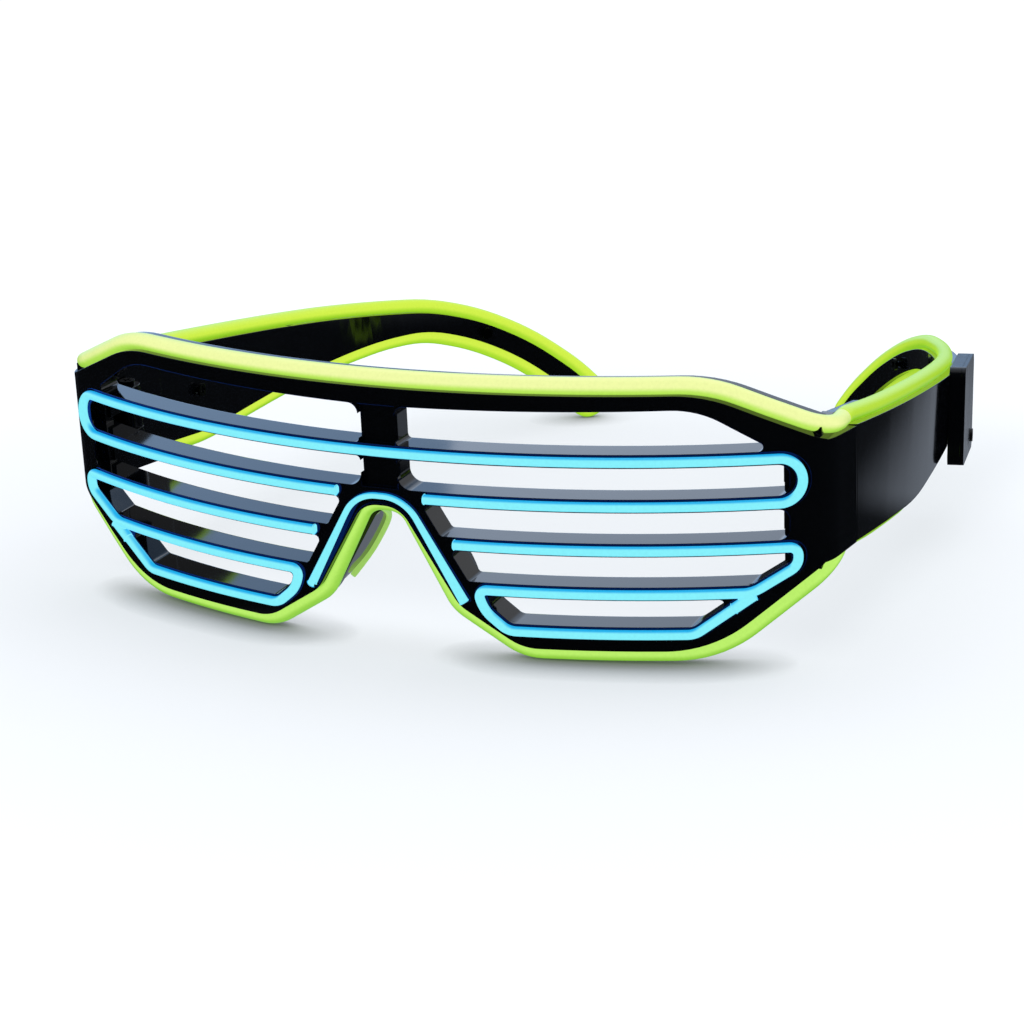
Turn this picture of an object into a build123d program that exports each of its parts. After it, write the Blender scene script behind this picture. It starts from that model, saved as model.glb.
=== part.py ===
from build123d import *
import os
from math import atan2, ceil, cos, degrees, hypot, radians, sin, sqrt, tan

os.makedirs("parts", exist_ok=True)

# Slatted party glasses with lit wire in grooves. Millimetres.
# They are modelled as worn: X to the wearer's left, Y back along the temples, Z up,
# with zero on the upper slat wire at the middle of the front. At the end they are
# set down on a table, where the lower rims and the temple tips touch it.

# Lit wire
blue_radius = 1.0
green_radius = 1.5
groove_play = 0.06          # round a wire in its groove
seat_play = 0.12            # more room behind the slat wires, whose bends are straight runs
blue_stand = 0.4            # centre line in front of the face
green_stand = 1.2           # centre line outside the edge that carries it
bend_share = 0.45           # of the shorter run, taken by each rounded corner
end_play = 0.2              # between the end of a wire and the end of its groove

# Front, in plan
wrap_radius = 150.0         # of the front face
front_depth = 5.0
wire_depth = 2.2            # from the front face to the green wire
land_depth = 3.7            # from the front face to the raised rear land
land_rise = 0.9             # of the rear land past the green wire's centre line
land_end_x = 71.5
corner_x = 73.3             # where the face turns into the side
cut_over = 20.0             # overrun of cuts and blanks

# Front, outline of the front lip, seen from the front
brow_z = 11.2
brow_shoulder_x = 54.8
brow_end_z = 2.3
rim_end_z = -18.7
rim_shoulder_x = 55.6
rim_z = -33.8
rim_inner_x = 24.5
nose_foot_x = 13.5
nose_foot_z = -26.7
nose_top_x = 3.5
nose_top_z = -9.8
brow_shoulder_radius = 22.0
brow_end_radius = 1.2
rim_end_radius = 3.0
rim_shoulder_radius = 20.0
rim_inner_radius = 9.0
nose_foot_radius = 6.0
nose_top_radius = 5.0

# Slats and windows
slat_pitch = 7.8
bottom_pitch = 7.2
slat_height = 2.4
pillar_width = 6.9
pillar_recess = 1.2
window_end_x = 67.6
window_radius = 1.8
window_low_radius = 3.0
window_small_radius = 0.8
upper_window_z = 8.1
upper_window_shoulder_z = 8.8
upper_window_shoulder_x = 53.8
upper_window_end_x = 65.6
upper_window_radius = 14.0
nose_bar = 3.9              # from the nose edge to the windows, across the bar

# Blue wire routes
upper_loop_x = 66.2
upper_wire_end_x = 8.2
third_wire_end_x = 13.2
lower_loop_x = 64.0
lower_loop_end_x = 69.0
lower_loop_low_z = -18.9
fourth_wire_turn_x = 62.0
fourth_wire_x = 58.6
fourth_wire_inner_x = 21.6
inner_loop_x = 17.0
inner_loop_low_x = 18.2
inner_loop_low_z = -27.2
inner_loop_foot_x = 22.2
bottom_wire_inner_x = 25.4
bottom_wire_outer_x = 50.4
branch_x = 53.0
branch_end_x = 59.8
branch_end_z = -25.6
joint_radius = 1.1          # of the lap that joins the branch to the fourth wire
joint_lap = 1.0             # over the branch
joint_reach = 3.4           # from the branch into the fourth wire's bend
nose_wire_inset = 1.4

# Green wire routes
brow_arc_x = 47.0
corner_wire_x = 73.0
corner_bend_radius = 8.0    # of the body and the wires, in plan
face_bend_radius = 40.0
rim_arc_outer_x = 46.5
rim_arc_inner_x = 30.2
front_stub = 1.2            # straight run in front of the seam
seam_stub = 2.0             # and behind it

# Nose wings
wing_reach = 12.6           # from the front's apex to the wing's rear edge
wing_wall = 2.2
wing_top_z = -10.5
wing_crest_z = -17.0
wing_heel_z = -23.5
wing_low_z = -31.5
wing_crest_radius = 5.0
wing_root = 1.6             # into the front, from its rear face

# Temples, in plan
seam_y = 28.5
seam_gap = 0.3
low_stand = 0.35            # centre line outside the skirt on the lower edge
skirt_in = 1.65             # its inner face, from the wire's centre line
skirt_top_z = -12.0
skirt_end_y = 96.0
seam_x = 72.9               # centre of the wire at the seam
bend_x = 71.3               # where the ear bend starts
bend_y = 100.0
bow = 1.2                   # outward bulge between the seam and the bend
ear_radius = 105.0
shell_out = 2.6             # outer face, from the wire's centre line
shell_in = -0.9             # joint between shell and cover
cover_in = -3.4             # inner face
cover_gap = 0.05

# Temples, in side view, laid flat, on the wire's centre line
top_seam_z = 3.6
low_seam_z = -18.6
tail_start = 37.0           # past the start of the ear bend
tail_drop = 17.3            # of the top edge, from the seam to the tail
tail_radius = 85.8
tail_turn = 39.0
tail_steps = 4
tail_width = 7.0
tip_reach = 3.5
neck_start = 31.0
neck_z = -21.1
belly_start = -36.0
belly_z = -23.2
station_step = 17.0         # longest straight run of the temple wire
ear_view_turn = 30.0        # direction in which the temple outline is cut

# Front end pieces and temple heads
end_root_x = 66.0
end_root_depth = 2.7        # from the front face
end_heel_y = 24.5           # where the gusset meets the end piece
end_skirt = 0.9             # lowering of the end piece's lower edge towards the corner
head_length = 16.0

# Hinge
hinge_inset = 1.6           # axis inside the temple's inner face
hinge_set_back = 1.0        # axis behind the seam
hinge_z = -8.0
knuckle_radius = 2.4
knuckle_height = 4.6
lug_height = 3.4
knuckle_gap = 0.15
relief_radius = 2.7
pin_radius = 0.8
pin_play = 0.05
head_radius = 1.5
head_height = 0.8
lug_reach = 10.0            # from the axis forward into the front
web_reach = 4.5             # from the axis back into the temple head
web_width = 2.8

# Cover screws
cover_screw_stations = (-40.0, 58.0)
screw_head_radius = 1.3
screw_head_height = 0.6
screw_radius = 0.6
screw_length = 3.4
screw_play = 0.1
tail_sag = 3.0              # of the tail below the straight top edge, at its screw

# Driver case on the left temple
case_station = 9.5          # its middle, past the start of the ear bend
case_length = 29.0
case_height = 19.1
case_thickness = 3.1
case_back = 1.65            # from the wire's centre line to the case, at its middle
case_drop = 10.0            # degrees, down to the rear
case_z = -19.0              # its middle
case_wall = 0.5
case_corner = 2.0
case_play = 0.06
part_play = 0.05            # round the inner pieces
lid_thickness = 0.8
cell_radius = 6.25
cell_thickness = 1.6
cell_gap = 0.5
cell_z = 2.4                # centres above the case's middle
contact_width = 3.0
contact_thickness = 0.12
board_length = 26.6
board_height = 4.4
board_thickness = 0.4
board_z = -6.3
coil_radius = 1.8
coil_height = 0.9
coil_x = -8.0
capacitor_length = 3.2
capacitor_width = 1.8
capacitor_height = 0.8
capacitor_x = -2.6
switch_size = 3.0
switch_height = 0.6
switch_x = 7.5
button_radius = 1.3
button_play = 0.08
button_proud = 0.5
button_travel = 0.3
stem_radius = 0.8
flange_radius = 1.8
flange_height = 0.25
lid_screw_x = 1.6
lid_post_radius = 1.5

# Table pose
rest_steps = 6


# Plan curve of the front


def face_point(x, z, depth=0.0):
    """Point of the wrapped front, this deep behind its front face."""
    return Vector(x, wrap_radius - sqrt((wrap_radius - depth) ** 2 - x ** 2), z)


def face_tangent(x, depth=0.0):
    """Direction along the wrapped front, away from the middle on the left."""
    return Vector(1, x / sqrt((wrap_radius - depth) ** 2 - x ** 2), 0).normalized()


def corner_point(arc_x, x, z, depth):
    """Corner at x on the straight line that leaves the wrapped front at arc_x."""
    tangent = face_tangent(arc_x, depth)
    return face_point(arc_x, z, depth) + tangent * ((x - arc_x) / tangent.X)


# Plan curve of the temple: a slight bow, then the ear bend. Stations are lengths along
# it from the start of the ear bend


half_chord = hypot(seam_x - bend_x, bend_y - seam_y) / 2
bow_radius = (half_chord ** 2 + bow ** 2) / (2 * bow)
bend_heading = atan2(seam_x - bend_x, bend_y - seam_y) + atan2(half_chord, bow_radius - bow)
bend_normal = Vector(cos(bend_heading), sin(bend_heading), 0)
seam_station = -2 * bow_radius * atan2(half_chord, bow_radius - bow)
top_slope = tail_drop / (tail_start - seam_station)


def temple_normal(station):
    """Outward direction of the temple in plan."""
    radius = bow_radius if station < 0 else ear_radius
    return bend_normal.rotate(Axis.Z, degrees(station / radius))


def temple_point(station, z, out=0.0):
    """Point of the temple, this far outside the wire's centre line."""
    radius = bow_radius if station < 0 else ear_radius
    centre = Vector(bend_x, bend_y, z) - bend_normal * radius
    return centre + temple_normal(station) * (radius + out)


# Wire paths


def soft_radii(points):
    """Radius for each inner corner, as large as its two runs allow."""
    radii = []
    for before, here, after in zip(points, points[1:], points[2:]):
        half_turn = radians((here - before).get_angle(after - here)) / 2
        run = min((here - before).length, (after - here).length)
        radii.append(bend_share * run / tan(half_turn))
    return radii


def soft_path(points):
    """Straight runs joined by tangent arcs."""
    return FilletPolyline(*points, radius=soft_radii(points))


def face_arc(x_from, x_to, z, depth):
    """Arc along the wrapped front at one height."""
    middle = (x_from + x_to) / 2
    return ThreePointArc(
        face_point(x_from, z, depth), face_point(middle, z, depth), face_point(x_to, z, depth)
    )


def mirrored(points):
    """The same points on the other side of the middle, in reverse order."""
    return [Vector(-p.X, p.Y, p.Z) for p in reversed(points)]


def offset_corners(points, amount):
    """Corners of an open outline moved to the left of its direction."""
    moved = []
    last = len(points) - 1
    for i, here in enumerate(points):
        ahead = points[min(i + 1, last)] - points[min(i, last - 1)]
        behind = points[max(i, 1)] - points[max(i - 1, 0)]
        n1 = Vector(-behind.Y, behind.X).normalized()
        n2 = Vector(-ahead.Y, ahead.X).normalized()
        middle = (n1 + n2).normalized()
        moved.append(here + middle * (amount / middle.dot(n1)))
    return moved


def stations_between(points, step):
    """The corners with more points on the runs that are longer than a step."""
    result = [points[0]]
    for start, end in zip(points, points[1:]):
        count = ceil((end - start).length / step)
        result += [start + (end - start) * (i / count) for i in range(1, count + 1)]
    return result


fifth_points = (0, 0.25, 0.5, 0.75, 1)
straight_turn = 0.01        # degrees, below which an edge counts as straight


def tube(path, radius):
    """Round bar along a path."""
    with BuildPart() as bar:
        with BuildSketch(Plane(origin=path @ 0, z_dir=path % 0)):
            Circle(radius)
        sweep(path=path)
    return bar.part


# Outline of the front lip on the left half, from the middle of the brow to the nose.
# It runs clockwise, so that its outside is on the left
lip = [
    Vector(0, brow_z),
    Vector(brow_shoulder_x, brow_z),
    Vector(corner_x, brow_end_z),
    Vector(corner_x, rim_end_z),
    Vector(rim_shoulder_x, rim_z),
    Vector(rim_inner_x, rim_z),
    Vector(nose_foot_x, nose_foot_z),
    Vector(nose_top_x, nose_top_z),
    Vector(0, nose_top_z),
]
lip_radii = [
    brow_shoulder_radius, brow_end_radius, rim_end_radius, rim_shoulder_radius,
    rim_inner_radius, nose_foot_radius, nose_top_radius,
]
lip_bulges = [1, 1, 1, 1, 1, 1, -1]


def lip_outline(amount):
    """Corners and radii of the lip's outline, moved outward."""
    corners = offset_corners(lip, amount)
    radii = [r + amount * bulge for r, bulge in zip(lip_radii, lip_bulges)]
    return corners, radii


def slope_z(start, end, x):
    """Height of a sloping run at x."""
    return start.Y + (end.Y - start.Y) * (x - start.X) / (end.X - start.X)


# Blanks of the front


def front_plate(near, far, amount, end_x):
    """Wrapped plate between two depths with the lip's outline moved outward."""
    corners, radii = lip_outline(amount)
    with BuildPart() as plate:
        with BuildSketch(Plane.XY.offset(rim_z - cut_over)):
            with Locations((0, wrap_radius)):
                Circle(wrap_radius - near)
                Circle(wrap_radius - far, mode=Mode.SUBTRACT)
        extrude(amount=brow_z - rim_z + 2 * cut_over)
        with BuildSketch(Plane.XZ):
            with BuildLine():
                half = FilletPolyline(*corners, radius=radii)
                mirror(half, about=Plane.YZ)
            make_face()
            with Locations((0, (brow_z + rim_z) / 2)):
                Rectangle(2 * end_x, brow_z - rim_z + 2 * cut_over, mode=Mode.INTERSECT)
        extrude(amount=-wrap_radius, mode=Mode.INTERSECT)
    return plate.part


# Slat wires

row_z = [0, -slat_pitch, -2 * slat_pitch, -3 * slat_pitch, -3 * slat_pitch - bottom_pitch]
blue_depth = -blue_stand


def loop_end(arc_x, z_from, z_to):
    """Half circle between two slats."""
    side = 1 if arc_x > 0 else -1
    return TangentArc(
        face_point(arc_x, z_from, blue_depth), face_point(arc_x, z_to, blue_depth),
        tangent=face_tangent(arc_x, blue_depth) * side,
    )


def upper_slat_path(play):
    """Along the second slat, round, across the first slat, round and back."""
    end_x = upper_wire_end_x - play
    with BuildLine() as path:
        face_arc(-end_x, -upper_loop_x, row_z[1], blue_depth)
        loop_end(-upper_loop_x, row_z[1], row_z[0])
        face_arc(-upper_loop_x, upper_loop_x, row_z[0], blue_depth)
        loop_end(upper_loop_x, row_z[0], row_z[1])
        face_arc(upper_loop_x, end_x, row_z[1], blue_depth)
    return path.wire()


def lower_slat_path(play):
    """Along the third slat, back along the fourth, then along the bottom bar."""
    outer = [
        face_point(lower_loop_x, row_z[2], blue_depth),
        corner_point(lower_loop_x, lower_loop_end_x, row_z[2], blue_depth),
        face_point(lower_loop_end_x, lower_loop_low_z, blue_depth),
        corner_point(fourth_wire_x, fourth_wire_turn_x, row_z[3], blue_depth),
        face_point(fourth_wire_x, row_z[3], blue_depth),
    ]
    inner = [
        face_point(fourth_wire_inner_x, row_z[3], blue_depth),
        corner_point(fourth_wire_inner_x, inner_loop_x, row_z[3], blue_depth),
        face_point(inner_loop_low_x, inner_loop_low_z, blue_depth),
        corner_point(bottom_wire_inner_x, inner_loop_foot_x, row_z[4], blue_depth),
        face_point(bottom_wire_inner_x, row_z[4], blue_depth),
    ]
    with BuildLine() as path:
        face_arc(third_wire_end_x - play, lower_loop_x, row_z[2], blue_depth)
        soft_path(outer)
        face_arc(fourth_wire_x, fourth_wire_inner_x, row_z[3], blue_depth)
        soft_path(inner)
        face_arc(bottom_wire_inner_x, bottom_wire_outer_x, row_z[4], blue_depth)
        soft_path([branch_start, branch_corner, branch_end])
    return path.wire()


branch_start = face_point(bottom_wire_outer_x, row_z[4], blue_depth)
branch_corner = corner_point(bottom_wire_outer_x, branch_x, row_z[4], blue_depth)
branch_end = face_point(branch_end_x, branch_end_z, blue_depth)
branch_way = (branch_end - branch_corner).normalized()


def joint_path():
    """Straight lap over the end of the branch and into the fourth wire."""
    with BuildLine() as path:
        Line(branch_end - branch_way * joint_lap, branch_end + branch_way * joint_reach)
    return path.wire()


def nose_path(play):
    """Arch over the nose, at an even distance from the nose edge."""
    foot, top, apex = offset_corners(lip[-3:], -nose_wire_inset)
    way = (foot - top).normalized()
    foot = foot + way * play
    half = [face_point(foot.X, foot.Y, blue_depth), face_point(top.X, top.Y, blue_depth)]
    radius = nose_top_radius + nose_wire_inset
    with BuildLine() as path:
        FilletPolyline(*half, *mirrored(half), radius=[radius, radius])
    return path.wire()


with BuildPart() as slat_wire_upper:
    add(tube(upper_slat_path(0), blue_radius))

with BuildPart() as slat_wire_left:
    add(tube(lower_slat_path(0), blue_radius))
    add(tube(joint_path(), joint_radius))

with BuildPart() as slat_wire_right:
    mirror(slat_wire_left.part, about=Plane.YZ)

with BuildPart() as nose_wire:
    add(tube(nose_path(0), blue_radius))


# Brow and rim wires

edge_line, edge_radii = lip_outline(green_stand)
front_end_y = seam_y - seam_gap / 2
temple_end_y = seam_y + seam_gap / 2


def brow_path():
    """From the right seam over the brow to the left seam."""
    shoulder, end = edge_line[1], edge_line[2]
    mid_x = (shoulder.X + corner_wire_x) / 2
    half = [
        face_point(brow_arc_x, shoulder.Y, wire_depth),
        corner_point(brow_arc_x, shoulder.X, shoulder.Y, wire_depth),
        face_point(mid_x, slope_z(shoulder, end, mid_x), wire_depth),
        face_point(corner_wire_x, slope_z(shoulder, end, corner_wire_x), wire_depth),
        Vector(seam_x, seam_y - front_stub, top_seam_z),
        Vector(seam_x, front_end_y, top_seam_z),
    ]
    radii = [edge_radii[0], face_bend_radius, corner_bend_radius, soft_radii(half)[-1]]
    with BuildLine() as path:
        FilletPolyline(*mirrored(half), radius=radii[::-1])
        face_arc(-brow_arc_x, brow_arc_x, shoulder.Y, wire_depth)
        FilletPolyline(*half, radius=radii)
    return path.wire()


def rim_path():
    """From the right seam along both lower rims and the nose to the left seam."""
    end, shoulder, inner, foot, top = edge_line[3:8]
    mid_x = (shoulder.X + corner_wire_x) / 2
    outer_half = [
        face_point(rim_arc_outer_x, shoulder.Y, wire_depth),
        corner_point(rim_arc_outer_x, shoulder.X, shoulder.Y, wire_depth),
        face_point(mid_x, slope_z(shoulder, end, mid_x), wire_depth),
        face_point(corner_wire_x, slope_z(shoulder, end, corner_wire_x), wire_depth),
        Vector(seam_x, seam_y - front_stub, low_seam_z),
        Vector(seam_x, front_end_y, low_seam_z),
    ]
    outer_radii = [
        edge_radii[3], face_bend_radius, corner_bend_radius, soft_radii(outer_half)[-1]
    ]
    nose_half = [
        face_point(top.X, top.Y, wire_depth),
        face_point(foot.X, foot.Y, wire_depth),
        corner_point(rim_arc_inner_x, inner.X, inner.Y, wire_depth),
        face_point(rim_arc_inner_x, inner.Y, wire_depth),
    ]
    nose_radii = [edge_radii[6], edge_radii[5], edge_radii[4]]
    with BuildLine() as path:
        FilletPolyline(*mirrored(outer_half), radius=outer_radii[::-1])
        face_arc(-rim_arc_outer_x, -rim_arc_inner_x, shoulder.Y, wire_depth)
        FilletPolyline(*mirrored(nose_half), *nose_half, radius=nose_radii[::-1] + nose_radii)
        face_arc(rim_arc_inner_x, rim_arc_outer_x, shoulder.Y, wire_depth)
        FilletPolyline(*outer_half, radius=outer_radii)
    return path.wire()


with BuildPart() as brow_wire:
    add(tube(brow_path(), green_radius))

with BuildPart() as rim_wire:
    add(tube(rim_path(), green_radius))


# Temple outline, laid flat: the top edge back to the tip, then the lower edge forward


def tail_line(radius):
    """Corners of the tail's curve at a distance from its centre."""
    start = Vector(tail_start, top_seam_z - tail_drop)
    heading = atan2(top_slope, 1)
    centre = start - Vector(sin(heading), cos(heading)) * tail_radius
    step = radians(tail_turn) / tail_steps
    far = radius / cos(step / 2)
    angles = [heading + step * (i + 1 / 2) for i in range(tail_steps)]
    corners = [centre + Vector(sin(a), cos(a)) * far for a in angles]
    last = heading + radians(tail_turn)
    end = centre + Vector(sin(last), cos(last)) * radius
    return corners, end + Vector(cos(last), -sin(last)) * tip_reach


def temple_line(lead):
    """Corners of the wire's centre line, starting this far in front of the seam."""
    top_corners, top_end = tail_line(tail_radius)
    low_corners, low_end = tail_line(tail_radius - tail_width)
    belly_slope = (belly_z - low_seam_z) / (belly_start - seam_station)
    return [
        Vector(seam_station - lead, top_seam_z + top_slope * lead),
        *top_corners, top_end, low_end, *reversed(low_corners),
        Vector(neck_start, neck_z),
        Vector(belly_start, belly_z),
        Vector(seam_station - lead, low_seam_z - belly_slope * lead),
    ]


def temple_path():
    """Wire round the temple, from the seam back to the seam."""
    line = stations_between(temple_line(0), station_step)
    points = [temple_point(p.X, p.Y) for p in line[1:-1]]
    ends = [(seam_x, y, z) for y, z in (
        (temple_end_y, top_seam_z), (seam_y + seam_stub, top_seam_z),
        (seam_y + seam_stub, low_seam_z), (temple_end_y, low_seam_z),
    )]
    ends = [Vector(*end) for end in ends]
    with BuildLine() as path:
        soft_path([*ends[:2], *points, *ends[2:]])
    return path.wire()


ear_view = Plane(origin=(0, 0, 0), z_dir=(cos(radians(ear_view_turn)), sin(radians(ear_view_turn)), 0))


def temple_band(low_out, high_out):
    """Plan of the temple between two distances from the wire's centre line."""
    front, rear = seam_station - cut_over, -seam_station + cut_over
    with BuildSketch(Plane.XY.offset(belly_z - 3 * cut_over)) as plan:
        with BuildLine():
            low = [temple_point(s, 0, low_out) for s in (front, front / 2, 0, rear / 2, rear)]
            high = [temple_point(s, 0, high_out) for s in (front, front / 2, 0, rear / 2, rear)]
            for edge in (low, high):
                ThreePointArc(edge[0], edge[1], edge[2])
                ThreePointArc(edge[2], edge[3], edge[4])
            Line(low[0], high[0])
            Line(low[-1], high[-1])
        make_face()
    return plan.sketch


def temple_plate(low_out, high_out, amount, y_from, y_to=None, z_to=None):
    """Plate of the temple with its outline moved outward, cut off in plan and in height."""
    line = offset_corners(temple_line(cut_over), amount)
    points = [temple_point(p.X, p.Y) for p in stations_between(line, station_step)]
    flat = [ear_view.to_local_coords(p) for p in points]
    flat = [Vector(p.X, p.Y) for p in flat]
    reach = bend_y * 2
    with BuildPart() as plate:
        add(temple_band(low_out, high_out))
        extrude(amount=reach)
        with BuildSketch(ear_view):
            with BuildLine():
                soft_path(flat)
                Line(flat[-1], flat[0])
            make_face()
        extrude(amount=reach, both=True, mode=Mode.INTERSECT)
        far_end = y_to or reach
        with BuildSketch(Plane.XY.offset(z_to or reach)):
            with Locations((0, (y_from + far_end) / 2)):
                Rectangle(reach, far_end - y_from)
        extrude(amount=-2 * reach, mode=Mode.INTERSECT)
    return plate.part


temple_wire_route = temple_path()

with BuildPart() as temple_wire_left:
    add(tube(temple_wire_route, green_radius))

with BuildPart() as temple_wire_right:
    mirror(temple_wire_left.part, about=Plane.YZ)


# Grooves of the slat wires


def blue_groove(path, radius=blue_radius):
    """Room for a blue wire, cut straight back to the depth of its underside."""
    seat = radius + groove_play + seat_play - blue_stand
    with BuildPart() as room:
        with BuildSketch(Plane.XZ):
            with BuildLine():
                for edge in path.edges():
                    spots = [Vector((edge @ share).X, (edge @ share).Z) for share in fifth_points]
                    turn = (spots[2] - spots[0]).get_angle(spots[4] - spots[2])
                    if turn < straight_turn:
                        Line(spots[0], spots[4])
                    else:
                        ThreePointArc(*spots[:3])
                        ThreePointArc(*spots[2:])
            trace(line_width=2 * (radius + groove_play))
        extrude(amount=-wrap_radius)
        with BuildSketch(Plane.XY.offset(rim_z - cut_over)):
            with Locations((0, wrap_radius)):
                Circle(wrap_radius + cut_over)
                Circle(wrap_radius - seat, mode=Mode.SUBTRACT)
        extrude(amount=brow_z - rim_z + 2 * cut_over, mode=Mode.INTERSECT)
    return room.part


# Windows between the slats, left half, as corners and the radii wanted there

half_slat = slat_height / 2
half_pillar = pillar_width / 2
nose_line = offset_corners(lip[-3:], -nose_bar)


def nose_corner(z):
    """Place on the bar beside the nose, at a height."""
    foot, top = nose_line[0], nose_line[1]
    return Vector(foot.X + (top.X - foot.X) * (z - foot.Y) / (top.Y - foot.Y), z)


outer_loop = offset_corners(
    [
        Vector(lower_loop_x, row_z[2]), Vector(lower_loop_end_x, row_z[2]),
        Vector(lower_loop_end_x, lower_loop_low_z), Vector(fourth_wire_turn_x, row_z[3]),
        Vector(fourth_wire_x, row_z[3]),
    ], -half_slat,
)
inner_loop = offset_corners(
    [
        Vector(fourth_wire_inner_x, row_z[3]), Vector(inner_loop_x, row_z[3]),
        Vector(inner_loop_low_x, inner_loop_low_z), Vector(inner_loop_foot_x, row_z[4]),
        Vector(bottom_wire_inner_x, row_z[4]),
    ], half_slat,
)
branch = offset_corners(
    [
        Vector(bottom_wire_outer_x, row_z[4]), Vector(branch_x, row_z[4]),
        Vector(branch_end_x, branch_end_z),
    ], half_slat,
)
branch_top_z = row_z[3] - half_slat
branch_share = (branch_top_z - branch[1].Y) / (branch[2].Y - branch[1].Y)
branch_top = branch[1] + (branch[2] - branch[1]) * branch_share
windows = [
    (
        [
            Vector(half_pillar, half_slat), Vector(half_pillar, upper_window_z),
            Vector(upper_window_shoulder_x, upper_window_shoulder_z),
            Vector(upper_window_end_x, half_slat),
        ], [window_small_radius, window_radius, upper_window_radius, window_small_radius],
    ),
    (
        [
            Vector(half_pillar, row_z[1] + half_slat), Vector(half_pillar, -half_slat),
            Vector(window_end_x, -half_slat), Vector(window_end_x, row_z[1] + half_slat),
        ], [window_low_radius, window_small_radius, window_radius, window_radius],
    ),
    (
        [
            nose_corner(row_z[2] + half_slat), nose_corner(row_z[1] - half_slat),
            Vector(window_end_x, row_z[1] - half_slat), Vector(window_end_x, row_z[2] + half_slat),
        ], [window_small_radius, window_small_radius, window_radius, window_radius],
    ),
    (
        [
            nose_corner(row_z[3] + half_slat), nose_corner(row_z[2] - half_slat),
            *outer_loop[1:4],
        ], [window_small_radius] * 5,
    ),
    (
        [inner_loop[3], inner_loop[2], inner_loop[1], branch_top, branch[1]],
        [window_radius, window_radius, window_small_radius, window_small_radius, window_radius],
    ),
]


def window_cut():
    """Solids that open the left half's windows."""
    with BuildPart() as holes:
        for corners, radii in windows:
            allowed = soft_radii([corners[-1], *corners, corners[0]])
            with BuildSketch(Plane.XZ):
                with BuildLine():
                    FilletPolyline(*corners, radius=[min(r) for r in zip(radii, allowed)], close=True)
                make_face()
            extrude(amount=-wrap_radius)
    return holes.part


# Nose wings


def nose_wing():
    """Flange behind the left edge of the nose cut-out."""
    outer = offset_corners(lip[-4:-1], green_stand + land_rise)
    inner = offset_corners(lip[-4:-1], green_stand + land_rise - wing_wall)
    root = front_depth - wing_root
    with BuildPart() as wing:
        with BuildSketch(Plane.XZ):
            with BuildLine():
                soft_path(outer)
                soft_path(inner)
                Line(outer[0], inner[0])
                Line(outer[-1], inner[-1])
            make_face()
        extrude(amount=-wing_reach)
        with BuildSketch(Plane.YZ):
            with BuildLine():
                FilletPolyline(
                    (root, wing_top_z), (wing_reach, wing_crest_z), (wing_reach, wing_heel_z),
                    (root, wing_low_z), radius=wing_crest_radius,
                )
                Line((root, wing_low_z), (root, wing_top_z))
            make_face()
        extrude(amount=corner_x, mode=Mode.INTERSECT)
    return wing.part


# Hinge

axis_x = seam_x + cover_in - hinge_inset
axis_y = seam_y + hinge_set_back
knuckle_top = hinge_z + knuckle_height / 2
lug_low = knuckle_top + knuckle_gap
lug_top = lug_low + lug_height
lug_spans = [(lug_low, lug_top), (2 * hinge_z - lug_top, 2 * hinge_z - lug_low)]
relief_spans = [
    (knuckle_top, lug_top + head_height + knuckle_gap),
    (2 * hinge_z - lug_top - knuckle_gap, 2 * hinge_z - knuckle_top),
]


def upright(radius, low, high):
    """Round bar on the left hinge axis."""
    with BuildPart() as bar:
        with BuildSketch(Plane.XY.offset(low)):
            with Locations((axis_x, axis_y)):
                Circle(radius)
        extrude(amount=high - low)
    return bar.part


outer_seam_x = temple_point(seam_station, 0, shell_out).X


def corner_waste():
    """What lies outside the rounded corner between the front face and the side."""
    corner = face_point(corner_x, 0)
    along_face = face_tangent(corner_x)
    along_side = (Vector(outer_seam_x, front_end_y) - corner).normalized()
    reach = corner_bend_radius * tan(radians(along_side.get_angle(along_face)) / 2)
    start = corner - along_face * reach
    end = corner + along_side * reach
    away = corner + (along_face - along_side).normalized() * cut_over
    with BuildPart() as waste:
        with BuildSketch(Plane.XY.offset(rim_z - cut_over)):
            with BuildLine():
                TangentArc(start, end, tangent=along_face)
                Line(end, away)
                Line(away, start)
            make_face()
        extrude(amount=brow_z - rim_z + 2 * cut_over)
    return waste.part


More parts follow.
